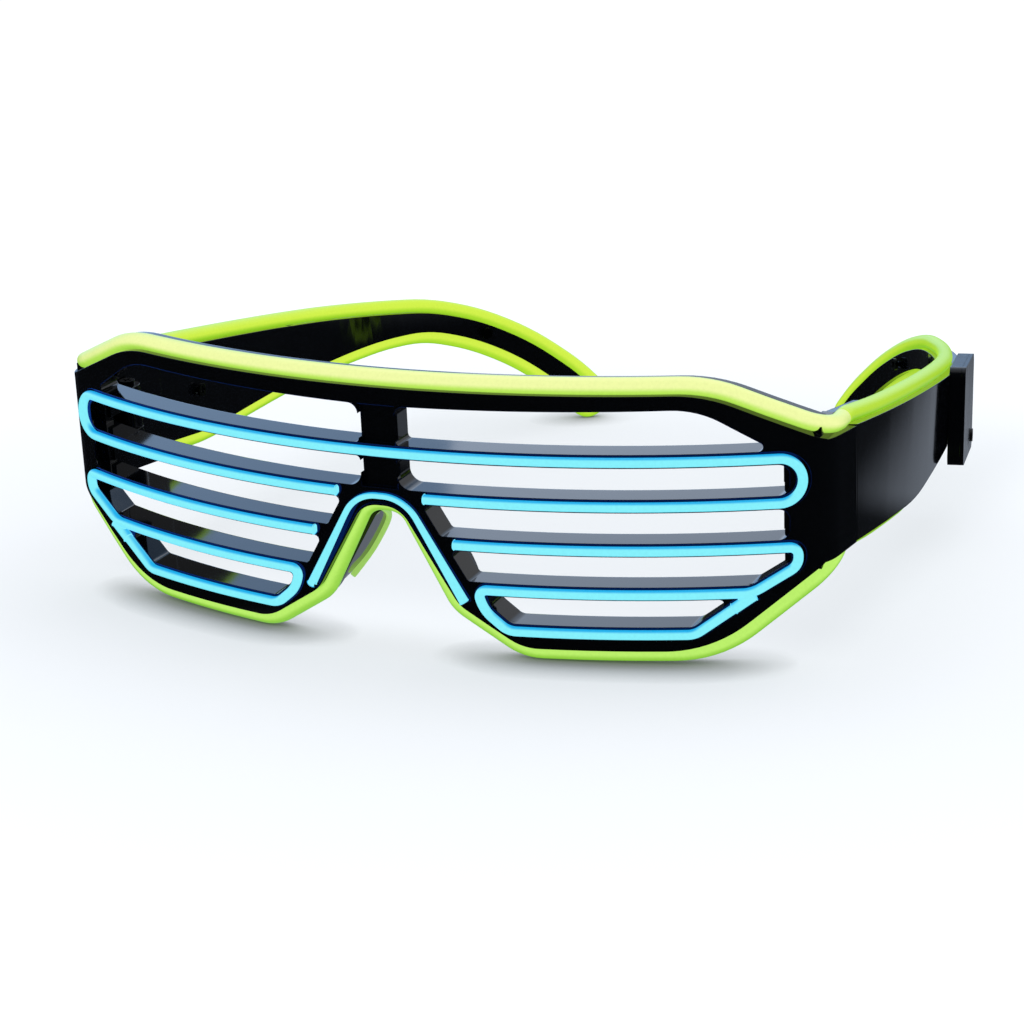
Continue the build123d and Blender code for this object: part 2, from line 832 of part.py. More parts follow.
def end_piece():
    """Block from the left corner of the front back to the seam."""
    inner_x = seam_x + cover_in
    joint_x = seam_x + shell_in
    root = face_point(end_root_x, 0, end_root_depth)
    heel = face_point(end_root_x, 0, front_depth)
    corner = face_point(corner_x, 0, 0)
    behind = face_point(inner_x, 0, wire_depth)
    low_z = low_seam_z + low_stand
    with BuildPart() as block:
        with BuildSketch(Plane.XY.offset(rim_z)):
            Polygon(
                (root.X, root.Y), (corner.X, corner.Y), (outer_seam_x, front_end_y),
                (inner_x, front_end_y), (inner_x, end_heel_y), (heel.X, heel.Y), align=None,
            )
        extrude(amount=brow_z - rim_z)
        with BuildSketch(Plane.YZ):
            Polygon(
                (root.Y, top_seam_z - green_stand), (front_end_y, top_seam_z - green_stand),
                (front_end_y, low_z), (corner.Y, low_z - end_skirt), (root.Y, low_z - end_skirt),
                align=None,
            )
        extrude(amount=outer_seam_x, mode=Mode.INTERSECT)
        with BuildSketch(Plane.YZ.offset(inner_x)):
            Polygon(
                (behind.Y, top_seam_z + land_rise), (front_end_y, top_seam_z + land_rise),
                (front_end_y, low_seam_z - land_rise),
                (behind.Y, low_seam_z - land_rise - end_skirt), align=None,
            )
        extrude(amount=joint_x - inner_x)
        for low, high in lug_spans:
            add(upright(knuckle_radius, low, high))
            with BuildSketch(Plane.XY.offset(low)):
                with Locations((axis_x, axis_y)):
                    Rectangle(2 * knuckle_radius, lug_reach, align=(Align.CENTER, Align.MAX))
            extrude(amount=high - low)
        add(upright(relief_radius, lug_spans[1][1], lug_spans[0][0]), mode=Mode.SUBTRACT)
        add(upright(pin_radius + pin_play, rim_z, brow_z), mode=Mode.SUBTRACT)
    return block.part


# The front, one moulding

left_end = end_piece()
left_waste = corner_waste()
left_wing = nose_wing()
left_windows = window_cut()
green_groove = green_radius + groove_play
lower_grooves = [blue_groove(lower_slat_path(end_play)), blue_groove(joint_path(), joint_radius)]

with BuildPart() as front_frame:
    add(front_plate(0, front_depth, 0, corner_x + cut_over))
    add(front_plate(land_depth, front_depth, green_stand + land_rise, land_end_x))
    add(left_windows, mode=Mode.SUBTRACT)
    mirror(left_windows, about=Plane.YZ, mode=Mode.SUBTRACT)
    with BuildSketch(Plane.XZ):
        for low, high in ((half_slat, upper_window_z), (row_z[1] + half_slat, -half_slat)):
            with Locations((0, (low + high) / 2)):
                Rectangle(pillar_width, high - low)
    extrude(amount=-pillar_recess, mode=Mode.SUBTRACT)
    add(left_end)
    add(left_wing)
    mirror(left_end, about=Plane.YZ)
    add(left_waste, mode=Mode.SUBTRACT)
    mirror(left_waste, about=Plane.YZ, mode=Mode.SUBTRACT)
    mirror(left_wing, about=Plane.YZ)
    add(blue_groove(upper_slat_path(end_play)), mode=Mode.SUBTRACT)
    for groove in lower_grooves:
        add(groove, mode=Mode.SUBTRACT)
        mirror(groove, about=Plane.YZ, mode=Mode.SUBTRACT)
    add(blue_groove(nose_path(end_play)), mode=Mode.SUBTRACT)
    add(tube(brow_path(), green_groove), mode=Mode.SUBTRACT)
    add(tube(rim_path(), green_groove), mode=Mode.SUBTRACT)

with BuildPart() as hinge_screw_left:
    add(upright(pin_radius, lug_spans[1][0], lug_top))
    add(upright(head_radius, lug_top, lug_top + head_height))

with BuildPart() as hinge_screw_right:
    mirror(hinge_screw_left.part, about=Plane.YZ)


# Temples


def cover_screw_planes():
    """Planes on the inner face of the temple where its cover screws sit."""
    planes = []
    for station in cover_screw_stations:
        rise = top_seam_z - top_slope * (station - seam_station)
        low = belly_z if station < 0 else rise - tail_width
        z = (rise + low) / 2 - (tail_sag if station > 0 else 0)
        inward = temple_normal(station) * -1
        planes.append(Plane(origin=temple_point(station, z, cover_in), z_dir=inward))
    return planes


def cover_screws():
    """The small screws of one cover, as separate solids."""
    with BuildPart() as screws:
        for plane in cover_screw_planes():
            with BuildSketch(plane):
                Circle(screw_head_radius)
            extrude(amount=-screw_head_height)
            with BuildSketch(plane):
                Circle(screw_radius)
            extrude(amount=-screw_length)
    return screws.part


def screw_holes():
    """Room for the screws of one cover."""
    with BuildPart() as holes:
        for plane in cover_screw_planes():
            with BuildSketch(plane.offset(cover_gap)):
                Circle(screw_head_radius + screw_play)
            extrude(amount=-screw_head_height - cover_gap)
            with BuildSketch(plane):
                Circle(screw_radius + screw_play)
            extrude(amount=-screw_length - cover_gap)
    return holes.part


wire_room = tube(temple_wire_route, green_groove)
head_end_y = temple_end_y + head_length


def temple_shell():
    """Outer shell of the left temple with its hinge knuckle."""
    with BuildPart() as shell:
        add(temple_plate(shell_in, shell_out, -green_stand, temple_end_y))
        add(temple_plate(cover_in, shell_in, land_rise, temple_end_y, head_end_y))
        for low, high in relief_spans:
            add(upright(relief_radius, low, high), mode=Mode.SUBTRACT)
        add(upright(knuckle_radius, knuckle_top - knuckle_height, knuckle_top))
        with BuildSketch(Plane.XY.offset(knuckle_top)):
            with Locations((axis_x, axis_y)):
                Rectangle(web_width, web_reach, align=Align.MIN)
        extrude(amount=-knuckle_height)
        add(upright(pin_radius + pin_play, rim_z, brow_z), mode=Mode.SUBTRACT)
        add(wire_room, mode=Mode.SUBTRACT)
        add(screw_holes(), mode=Mode.SUBTRACT)
        add(temple_plate(skirt_in, shell_out, -low_stand, temple_end_y, skirt_end_y, skirt_top_z))
    return shell.part


# Driver case, on a plane against the outside of the left temple

drop = radians(case_drop)
case_out = temple_normal(case_station)
case_along = Vector(-case_out.Y * cos(drop), case_out.X * cos(drop), -sin(drop))
case_plane = Plane(
    origin=temple_point(case_station, case_z, case_back), x_dir=case_along, z_dir=case_out
)
tub_height = case_thickness - lid_thickness
cell_x = cell_radius + cell_gap / 2
board_top = case_wall + board_thickness
cell_top = case_wall + cell_thickness
post_place = (lid_screw_x, board_z)
button_place = (switch_x, board_z)


def case_block(low, high, inset):
    """Rounded block of the case between two heights over its back."""
    with BuildPart() as block:
        with BuildSketch(case_plane.offset(low)):
            RectangleRounded(case_length - 2 * inset, case_height - 2 * inset, case_corner - inset)
        extrude(amount=high - low)
    return block.part


def case_round(place, radius, low, high):
    """Round solid in the case between two heights over its back."""
    with BuildPart() as solid:
        with BuildSketch(case_plane.offset(low)):
            with Locations(place):
                Circle(radius)
        extrude(amount=high - low)
    return solid.part


def case_brick(place, size, low, high):
    """Brick in the case between two heights over its back."""
    with BuildPart() as brick:
        with BuildSketch(case_plane.offset(low)):
            with Locations(place):
                Rectangle(*size)
        extrude(amount=high - low)
    return brick.part


left_shell = temple_shell()

with BuildPart() as temple_left:
    add(left_shell)
    add(case_block(-case_play, case_thickness, -case_play), mode=Mode.SUBTRACT)

with BuildPart() as temple_right:
    mirror(left_shell, about=Plane.YZ)

with BuildPart() as temple_cover_left:
    add(temple_plate(cover_in, shell_in - cover_gap, land_rise, head_end_y + cover_gap))
    add(wire_room, mode=Mode.SUBTRACT)
    add(screw_holes(), mode=Mode.SUBTRACT)

with BuildPart() as temple_cover_right:
    mirror(temple_cover_left.part, about=Plane.YZ)

with BuildPart() as cover_screws_left:
    add(cover_screws())

with BuildPart() as cover_screws_right:
    mirror(cover_screws_left.part, about=Plane.YZ)

with BuildPart() as driver_case:
    add(case_block(0, tub_height, 0))
    add(case_block(case_wall, tub_height, case_wall), mode=Mode.SUBTRACT)
    add(case_round(post_place, lid_post_radius, case_wall, tub_height))
    add(case_round(post_place, screw_radius + part_play, case_wall, tub_height), mode=Mode.SUBTRACT)

with BuildPart() as battery_lid:
    add(case_block(tub_height, case_thickness, 0))
    for place, radius, depth in (
        (button_place, button_radius + button_play, lid_thickness),
        (post_place, screw_radius + part_play, lid_thickness),
        (post_place, screw_head_radius + screw_play, screw_head_height),
    ):
        low = case_thickness - depth
        add(case_round(place, radius, low, case_thickness), mode=Mode.SUBTRACT)

with BuildPart() as lid_screw:
    add(case_round(post_place, screw_head_radius, case_thickness - screw_head_height, case_thickness))
    add(case_round(post_place, screw_radius, board_top, case_thickness))

with BuildPart() as cell_front:
    add(case_round((-cell_x, cell_z), cell_radius, case_wall, cell_top))

with BuildPart() as cell_rear:
    add(case_round((cell_x, cell_z), cell_radius, case_wall, cell_top))

with BuildPart() as contact_strip:
    add(
        case_brick(
            (0, cell_z), (2 * cell_x + contact_width, contact_width),
            cell_top, cell_top + contact_thickness,
        )
    )

with BuildPart() as driver_board:
    add(case_brick((0, board_z), (board_length, board_height), case_wall, board_top))
    add(case_round(post_place, lid_post_radius + part_play, case_wall, board_top), mode=Mode.SUBTRACT)

with BuildPart() as inverter_coil:
    add(case_round((coil_x, board_z), coil_radius, board_top, board_top + coil_height))

with BuildPart() as filter_capacitor:
    add(
        case_brick(
            (capacitor_x, board_z), (capacitor_length, capacitor_width),
            board_top, board_top + capacitor_height,
        )
    )

with BuildPart() as mode_switch:
    add(
        case_brick(
            button_place, (switch_size, switch_size), board_top, board_top + switch_height
        )
    )

with BuildPart() as mode_button:
    flange_low = tub_height - flange_height
    stem_low = board_top + switch_height + button_travel
    add(case_round(button_place, stem_radius, stem_low, flange_low))
    add(case_round(button_place, flange_radius, flange_low, tub_height))
    add(case_round(button_place, button_radius, tub_height, case_thickness + button_proud))


# Table pose: turned until the lower rims and the temple tips stand on the table

rest_angle = 0.0
for step in range(rest_steps):
    turned = Rot(X=rest_angle)
    rim_low = (turned * rim_wire.part).bounding_box()
    tip_low = (turned * temple_wire_left.part).bounding_box()
    rest_angle += degrees(atan2(rim_low.min.Z - tip_low.min.Z, tip_low.max.Y))

nodes = {
    "front_frame": front_frame,
    "slat_wire_upper": slat_wire_upper,
    "slat_wire_left": slat_wire_left,
    "slat_wire_right": slat_wire_right,
    "nose_wire": nose_wire,
    "brow_wire": brow_wire,
    "rim_wire": rim_wire,
    "hinge_screw_left": hinge_screw_left,
    "hinge_screw_right": hinge_screw_right,
    "temple_left": temple_left,
    "temple_cover_left": temple_cover_left,
    "temple_wire_left": temple_wire_left,
    "cover_screws_left": cover_screws_left,
    "temple_right": temple_right,
    "temple_cover_right": temple_cover_right,
    "temple_wire_right": temple_wire_right,
    "cover_screws_right": cover_screws_right,
    "driver_case": driver_case,
    "battery_lid": battery_lid,
    "lid_screw": lid_screw,
    "cell_front": cell_front,
    "cell_rear": cell_rear,
    "contact_strip": contact_strip,
    "driver_board": driver_board,
    "inverter_coil": inverter_coil,
    "filter_capacitor": filter_capacitor,
    "mode_switch": mode_switch,
    "mode_button": mode_button,
}

turned = Rot(X=rest_angle)
boxes = [(turned * node.part).bounding_box() for node in nodes.values()]
middle_y = (min(b.min.Y for b in boxes) + max(b.max.Y for b in boxes)) / 2
lift = -min(b.min.Z for b in boxes)
table_pose = Pos(0, -middle_y, lift) * turned

for name, node in nodes.items():
    placed = table_pose * node.part
    placed.label = name
    export_step(placed, f"parts/{name}.step")

hinge_point = table_pose * Pos(axis_x, axis_y, hinge_z)
button_point = table_pose * case_plane.offset(case_thickness).location * Pos(*button_place, 0)
print("rest angle", rest_angle, "shift", -middle_y, lift)
print("left hinge", hinge_point.position, Plane(hinge_point).z_dir)
print("button", button_point.position, Plane(button_point).z_dir)
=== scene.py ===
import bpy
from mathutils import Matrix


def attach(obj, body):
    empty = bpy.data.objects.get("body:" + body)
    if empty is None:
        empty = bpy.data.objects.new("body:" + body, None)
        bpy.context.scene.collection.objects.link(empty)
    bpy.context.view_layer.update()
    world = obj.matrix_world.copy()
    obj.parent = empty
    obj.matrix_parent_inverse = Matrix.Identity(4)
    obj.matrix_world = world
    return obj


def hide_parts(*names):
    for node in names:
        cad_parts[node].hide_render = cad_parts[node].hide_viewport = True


bl_info = {
    "name": "Slatted Glasses with Lit Wire",
    "version": (1, 0, 0),
    "blender": (4, 5, 0),
    "location": "View3D > Sidebar > Glasses",
    "description": "Dresses the slatted glasses: mouldings, lit wire, screws, driver and studio",
    "category": "Object",
}

import math

import bmesh
import bpy
from bpy.props import FloatProperty, FloatVectorProperty, PointerProperty
from mathutils import Matrix, Vector

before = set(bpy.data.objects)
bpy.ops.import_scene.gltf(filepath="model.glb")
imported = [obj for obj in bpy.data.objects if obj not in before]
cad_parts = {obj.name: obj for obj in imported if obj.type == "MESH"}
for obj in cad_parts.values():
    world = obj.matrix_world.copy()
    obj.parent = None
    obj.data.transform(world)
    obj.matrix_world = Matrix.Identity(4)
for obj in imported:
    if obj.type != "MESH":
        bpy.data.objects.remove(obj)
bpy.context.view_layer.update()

MM = 0.001
LABEL = "Glasses"
WHITE = (1.0, 1.0, 1.0)


def linear(hex_colour):
    """Linear red, green and blue of an sRGB hex colour."""
    parts = [int(hex_colour[place:place + 2], 16) / 255 for place in (1, 3, 5)]
    return tuple(c / 12.92 if c <= 0.04045 else ((c + 0.055) / 1.055) ** 2.4 for c in parts)


def colour_setting(name, hex_colour, description):
    """A colour that the user can change."""
    return FloatVectorProperty(
        name=name, description=description, subtype="COLOR", size=3,
        min=0.0, max=1.0, default=linear(hex_colour),
    )


def add_node(tree, kind, inputs=None, **settings):
    """Adds a node, sets what it is told, and sets or links its inputs."""
    made = tree.nodes.new(kind)
    for name, value in settings.items():
        setattr(made, name, value)
    for key, value in (inputs or {}).items():
        if isinstance(value, bpy.types.NodeSocket):
            tree.links.new(value, made.inputs[key])
        else:
            made.inputs[key].default_value = value
    return made


def new_material(name):
    """An empty node material and its tree."""
    material = bpy.data.materials.new(name)
    material.use_nodes = True
    material.node_tree.nodes.clear()
    return material, material.node_tree


def close_material(tree, shader):
    """Sends a shader to the material's output."""
    add_node(tree, "ShaderNodeOutputMaterial", {"Surface": shader.outputs[0]})


def rgba(colour, share=1.0):
    """A colour, or a share of it, with full alpha."""
    return (*(part * share for part in colour), 1.0)


def maths(tree, operation, first, second=0.0):
    """Result of a maths node."""
    return add_node(tree, "ShaderNodeMath", {0: first, 1: second}, operation=operation).outputs[0]


def times(tree, first, *others):
    """Product of two or more values."""
    for other in others:
        first = maths(tree, "MULTIPLY", first, other)
    return first


def mapped(tree, value, start, end, kind="LINEAR"):
    """A value mapped from one range to another: (from, to) at the start and at the end."""
    made = add_node(
        tree, "ShaderNodeMapRange",
        {
            "Value": value, "From Min": start[0], "From Max": end[0], "To Min": start[1],
            "To Max": end[1],
        },
        interpolation_type=kind,
    )
    return made.outputs[0]


def faded(tree, value, start, end, low=0.0, high=1.0):
    """Goes softly from low to high while the value goes from start to end."""
    return mapped(tree, value, (start, low), (end, high), "SMOOTHSTEP")


def blend(tree, factor, first, second, kind="MIX"):
    """Two colours mixed."""
    made = add_node(
        tree, "ShaderNodeMix", {"Factor": factor, "A": first, "B": second},
        data_type="RGBA", blend_type=kind,
    )
    return made.outputs["Result"]


def object_place(tree):
    """Place on the object, in metres."""
    return add_node(tree, "ShaderNodeTexCoord").outputs["Object"]


def noise(tree, place, length, detail=2.0):
    """Noise whose coarsest grains have a length in metres."""
    made = add_node(
        tree, "ShaderNodeTexNoise", {"Vector": place, "Scale": 1 / length, "Detail": detail}
    )
    return made.outputs[0]


def relief(tree, height, strength, depth, rounding=None):
    """A fine relief, on rounded edges if a rounding radius is given with its samples."""
    inputs = {"Height": height, "Strength": strength, "Distance": depth}
    if rounding:
        radius, samples = rounding
        edge = add_node(tree, "ShaderNodeBevel", {"Radius": radius}, samples=samples)
        inputs["Normal"] = edge.outputs[0]
    return add_node(tree, "ShaderNodeBump", inputs).outputs[0]


def close_principled(tree, inputs):
    """Ends a material with the standard surface."""
    close_material(tree, add_node(tree, "ShaderNodeBsdfPrincipled", inputs))


def dress(node_name, material):
    """Gives a CAD node its material."""
    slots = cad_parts[node_name].data.materials
    slots.clear()
    slots.append(material)


class GlassesPlastic(bpy.types.PropertyGroup):
    """Finish of the black mouldings."""

    colour: colour_setting("Black", "#040507", "Colour of the moulded plastic")
    roughness: FloatProperty(
        name="Polish", description="Roughness left by the polished mould",
        min=0.0, max=1.0, default=0.07,
    )
    ior: FloatProperty(
        name="Refraction", description="Index of refraction of the plastic",
        min=1.2, max=2.0, default=1.38,
    )
    edge: FloatProperty(
        name="Edge radius", description="Rounding of the moulded edges",
        min=0.0, max=0.001, default=0.22 * MM, unit="LENGTH", precision=5,
    )
    ripple: FloatProperty(
        name="Ripple", description="Length of the slow waves in a thin moulded wall",
        min=0.001, max=0.05, default=9.0 * MM, unit="LENGTH", precision=4,
    )


class GlassesWire(bpy.types.PropertyGroup):
    """Colours and light of the wire."""

    # Painted light: each green pair is one lime wire. Its upper tone is paled by painted highlight
    # of the soft box above, and its low tone is painted shade where the jacket faces down. Brow,
    # rim and temple differ by how much of that top light each gets. The blue pair is lighter below
    # and deeper on top, partly the jacket's lens and partly painted light.
    brow: colour_setting("Brow green", "#F2FCA8", "Light of the brow wire, paled by the soft box")
    brow_low: colour_setting("Brow green, low", "#BCEB5C", "Where the brow's jacket faces down")
    rim: colour_setting("Rim green", "#BDF26C", "Light of the green wire on the lower rims")
    rim_low: colour_setting("Rim green, low", "#94D244", "Where the rims' jacket faces down")
    temple: colour_setting("Temple green", "#D2F24A", "Light of the green wire on the temples")
    temple_low: colour_setting("Temple green, low", "#A9DE30", "Where that jacket faces down")
    # Painted reflection: the blue wires' reflections in the plastic are painted in this deeper
    # blue, at this gain
    blue_halo: colour_setting(
        "Blue halo", "#1B62E8", "Deep blue that the plastic beside the blue wires mirrors"
    )
    halo_gain: FloatProperty(
        name="Blue halo gain", description="Strength of the blue halo, times the mirror gain",
        min=0.0, max=10.0, default=2.2,
    )
    # Painted reflection: pale green of the glint that stands for the green wire mirrored in each
    # nose wing
    bead: colour_setting("Wing bead", "#9CCB62", "Pale green of the bead on the nose wings")
    blue: colour_setting("Blue", "#86F2FD", "Light of the blue wire")
    blue_top: colour_setting("Blue, top", "#1FB2EE", "Light where the blue jacket faces up")
    strength: FloatProperty(
        name="Brightness", description="Strength of the lit wire", min=0.0, max=5.0, default=0.97,
    )
    spill: FloatProperty(
        name="Spill", description="Share of the wire's light that falls on dull surfaces near it",
        min=0.0, max=2.0, default=0.5,
    )
    mirror: FloatProperty(
        name="Mirror gain", description="Brightness of the wire in the gloss plastic beside it",
        min=0.0, max=10.0, default=1.4,
    )


class GlassesStudio(bpy.types.PropertyGroup):
    """Floor, lamps and camera."""

    floor_colour: colour_setting("Floor", "#F4F7FB", "Colour of the studio floor")
    lamp_power: FloatProperty(
        name="Top lamp", description="Power of the soft box above",
        min=0.0, max=100.0, default=4.0, subtype="POWER",
    )
    camera_turn: FloatProperty(
        name="Camera turn", description="Turn of the camera to the wearer's left",
        default=math.radians(24.31), subtype="ANGLE",
    )
    camera_pitch: FloatProperty(
        name="Camera pitch", description="Downward pitch of the camera",
        default=math.radians(19.37), subtype="ANGLE",
    )
    camera_roll: FloatProperty(
        name="Camera roll", description="Roll of the camera",
        default=math.radians(-2.51), subtype="ANGLE",
    )
    lens: FloatProperty(
        name="Lens", description="Focal length in millimetres on a 36 mm sensor",
        min=10.0, max=300.0, default=88.52,
    )


def gloss_abs(name, colour, roughness, shine):
    """ABS from a polished mould: deep black with clear reflections that waver a little.

    The waver gives the eye a thin moulded wall, and the rounded edges give it thin bright lines.
    """
    plastic = bpy.context.scene.glasses_plastic
    material, tree = new_material(name)
    place = object_place(tree)
    wave = noise(tree, place, plastic.ripple, 1.0)
    haze = noise(tree, place, 3 * MM, 3.0)
    close_principled(tree, {
        "Base Color": blend(tree, wave, rgba(colour), rgba(colour, 1.6)),
        "Roughness": mapped(tree, haze, (0, roughness * 0.6), (1, roughness * 1.5)),
        "IOR": plastic.ior, "Specular IOR Level": shine,
        "Normal": relief(tree, wave, 0.25, 0.06 * MM, (plastic.edge, 6)),
    })
    return material


def lit_jacket(name, stops, painted_edge_shade, halo):
    """Lit core in a clear PVC jacket: even light, in bands along the round of the jacket.

    The bands are painted light: the side that faces up has another tone than the one that faces
    down, partly as the jacket bends the core's light and partly as painted highlight of the soft
    box above and painted shade below, and both edges are painted darker, as shade where the eye
    sees past the core. A fine mottle stands for the grains of the phosphor. Plastic beside the
    wire mirrors it as a painted reflection, in the deeper tone of its halo and brighter by the
    mirror gain.
    """
    wire = bpy.context.scene.glasses_wire
    material, tree = new_material(name)
    coordinates = add_node(tree, "ShaderNodeTexCoord")
    parts = add_node(tree, "ShaderNodeSeparateXYZ", {"Vector": coordinates.outputs["Normal"]})
    # Painted light: the tone follows whether the jacket faces up or down
    share = mapped(tree, parts.outputs["Z"], (-1, 0), (1, 1))
    bands = add_node(tree, "ShaderNodeValToRGB", {"Fac": share})
    ramp = bands.color_ramp
    ramp.interpolation = "EASE"
    for place, colour in stops:
        element = ramp.elements.new((place + 1) / 2)
        element.color = rgba(colour)
    ramp.elements.remove(ramp.elements[0])
    ramp.elements.remove(ramp.elements[-1])
    # Painted shade: the light darkens towards both edges of the jacket
    facing = add_node(tree, "ShaderNodeLayerWeight", {"Blend": 0.5}).outputs["Facing"]
    rim = faded(tree, facing, 0.35, 0.95)
    shaded = blend(tree, rim, rgba(WHITE), rgba(painted_edge_shade))
    light = blend(tree, 1.0, bands.outputs[0], shaded, "MULTIPLY")
    grain = noise(tree, coordinates.outputs["Object"], 0.5 * MM)
    power = mapped(tree, grain, (0.3, wire.strength * 0.97), (0.7, wire.strength * 1.03))
    # Painted reflection: reflections see the wire in its deeper tone, brighter by the mirror gain
    ray = add_node(tree, "ShaderNodeLightPath").outputs
    spill = mapped(tree, ray["Is Diffuse Ray"], (0, 1), (1, wire.spill))
    mirror = mapped(tree, ray["Is Glossy Ray"], (0, 1), (1, wire.mirror))
    close_principled(tree, {
        "Base Color": rgba(stops[1][1], 0.05), "Roughness": 0.3, "IOR": 1.53,
        "Specular IOR Level": 0.12,
        "Emission Color": blend(tree, ray["Is Glossy Ray"], light, rgba(halo)),
        "Emission Strength": times(tree, power, times(tree, spill, mirror)),
    })
    return material


class GLASSES_OT_mouldings(bpy.types.Operator):
    """Gives the front, temples and covers a gloss black finish and the case a satin one"""

    bl_idname = "glasses.mouldings"
    bl_label = "Finish Mouldings"

    def execute(self, context):
        plastic = context.scene.glasses_plastic
        black = gloss_abs("gloss_black_abs", plastic.colour, plastic.roughness, 0.5)
        case = gloss_abs("satin_black_abs", plastic.colour, plastic.roughness * 3, 0.2)
        dress("front_frame", black)
        for side in ("left", "right"):
            dress("temple_" + side, black)
            dress("temple_cover_" + side, black)
        for name in ("driver_case", "battery_lid"):
            dress(name, case)
        return {"FINISHED"}


class GLASSES_OT_lit_wires(bpy.types.Operator):
    """Lights the green and the blue wires"""

    bl_idname = "glasses.lit_wires"
    bl_label = "Light Wires"

    def execute(self, context):
        wire = context.scene.glasses_wire
        green_painted_edge_shade = (0.55, 0.72, 0.45)
        # Painted light: lit and shaded copies of one lime jacket; each low tone is painted shade
        # below and the wire's painted reflection
        greens = {
            "brow": (wire.brow, wire.brow_low, ("brow_wire",)),
            "rim": (wire.rim, wire.rim_low, ("rim_wire",)),
            "temple": (wire.temple, wire.temple_low, ("temple_wire_left", "temple_wire_right")),
        }
        for place, (level, low, names) in greens.items():
            green = lit_jacket(
                "lit_green_pvc_" + place, ((-0.6, low), (0.1, level), (0.9, level)), green_painted_edge_shade,
                low,
            )
            for name in names:
                dress(name, green)
        blue = lit_jacket(
            "lit_blue_pvc", ((-0.6, wire.blue), (0.45, wire.blue), (0.92, wire.blue_top)),
            (0.75, 0.85, 0.92), [part * wire.halo_gain for part in wire.blue_halo],
        )
        for name in ("slat_wire_upper", "slat_wire_left", "slat_wire_right", "nose_wire"):
            dress(name, blue)
        return {"FINISHED"}


def metal(name, colour, roughness, grain_mm, stretch):
    """Metal whose fine lines or grain show as small changes of its polish."""
    material, tree = new_material(name)
    place = object_place(tree)
    turned = add_node(tree, "ShaderNodeMapping", {"Vector": place, "Scale": stretch})
    grain = noise(tree, turned.outputs[0], grain_mm * MM, 4.0)
    close_principled(tree, {
        "Base Color": rgba(colour), "Metallic": 1.0,
        "Roughness": mapped(tree, grain, (0, roughness * 0.6), (1, roughness * 1.4)),
        "Normal": relief(tree, grain, 0.3, 0.01 * MM, (0.1 * MM, 4)),
    })
    return material


def grained(name, colour, light, roughness, grain_mm, relief_mm):
    """Dull material whose grain shows as two tones and a fine relief.

    Rubber, ferrite, ceramic and board differ in the size of the grain and in their polish.
    """
    material, tree = new_material(name)
    grain = noise(tree, object_place(tree), grain_mm * MM, 5.0)
    close_principled(tree, {
        "Base Color": blend(tree, grain, rgba(linear(colour)), rgba(linear(light))),
        "Roughness": mapped(tree, grain, (0, roughness * 0.8), (1, roughness * 1.2)),
        "IOR": 1.5, "Normal": relief(tree, grain, 0.4, relief_mm * MM),
    })
    return material


class GLASSES_OT_small_metal(bpy.types.Operator):
    """Gives the screws, cells and contact strip their metal"""

    bl_idname = "glasses.small_metal"
    bl_label = "Finish Metal"

    def execute(self, context):
        black_steel = metal("black_oxide_steel", linear("#0C0D0F"), 0.35, 0.2, (1, 1, 1))
        nickel = metal("nickel_plated_steel", linear("#B9B7B0"), 0.22, 0.3, (1, 1, 0.2))
        bronze = metal("tinned_bronze_strip", linear("#C9B48A"), 0.3, 0.2, (0.1, 1, 1))
        dress("lid_screw", black_steel)
        for side in ("left", "right"):
            dress("cover_screws_" + side, black_steel)
            dress("hinge_screw_" + side, black_steel)
        for name in ("cell_front", "cell_rear"):
            dress(name, nickel)
        dress("contact_strip", bronze)
        return {"FINISHED"}


# From the glasses as worn, with zero at the front's middle, to the table that they stand on
WORN_TILT = math.radians(4.10996)
WORN_SHIFT = Vector((0, -88.8017, 36.0761)) * MM
LAID = Matrix.Translation(WORN_SHIFT) @ Matrix.Rotation(WORN_TILT, 4, "X")
MERGE_REACH = 0.001 * MM
SMOOTH_ANGLE = math.radians(35)


def linked(name, mesh, material, body, stands_for=()):
    """An object for a finished mesh, riding on its body."""
    made = bpy.data.objects.new(name, mesh)
    bpy.context.scene.collection.objects.link(made)
    mesh.materials.clear()
    mesh.materials.append(material)
    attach(made, body)
    if stands_for:
        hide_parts(*stands_for)
    return made


def merged_copy(node_name):
    """Mesh code's copy of a CAD node, with its split corners merged."""
    work = bmesh.new()
    work.from_mesh(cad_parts[node_name].data)
    bmesh.ops.remove_doubles(work, verts=work.verts[:], dist=MERGE_REACH)
    return work


def mesh_of(name, work):
    """A plain mesh made from mesh code, smooth but for its corners."""
    bmesh.ops.recalc_face_normals(work, faces=work.faces[:])
    mesh = bpy.data.meshes.new(name)
    work.to_mesh(mesh)
    work.free()
    mesh.shade_smooth()
    mesh.set_sharp_from_angle(angle=SMOOTH_ANGLE)
    return mesh


# The temple's plan curve, worn, in millimetres: a slight bow, then the ear bend
BEND_POINT = Vector((71.3, 100.0))
BEND_HEADING = 0.0895825
BOW_RADIUS = 533.36
EAR_RADIUS = 105.0
JOINT_OUT = -0.9            # from the wire's centre line to the joint of shell and cover
COVER_GAP = 0.05
COVER_THICKNESS = 1.15
HEAD_END = 44.5             # where the cover starts
JOINT_SLACK = 0.08          # of a face that still counts as the joint's


def temple_out(point):
    """Distance outside the temple's plan curve and the outward direction there, worn."""
    way = Vector((math.cos(BEND_HEADING), math.sin(BEND_HEADING)))
    radius = EAR_RADIUS if point.y > BEND_POINT.y else BOW_RADIUS
    side = -1 if point.x < 0 else 1
    arm = Vector((abs(point.x), point.y)) - (BEND_POINT - way * radius)
    return arm.length - radius, Vector((side * arm.x, arm.y, 0)).normalized()


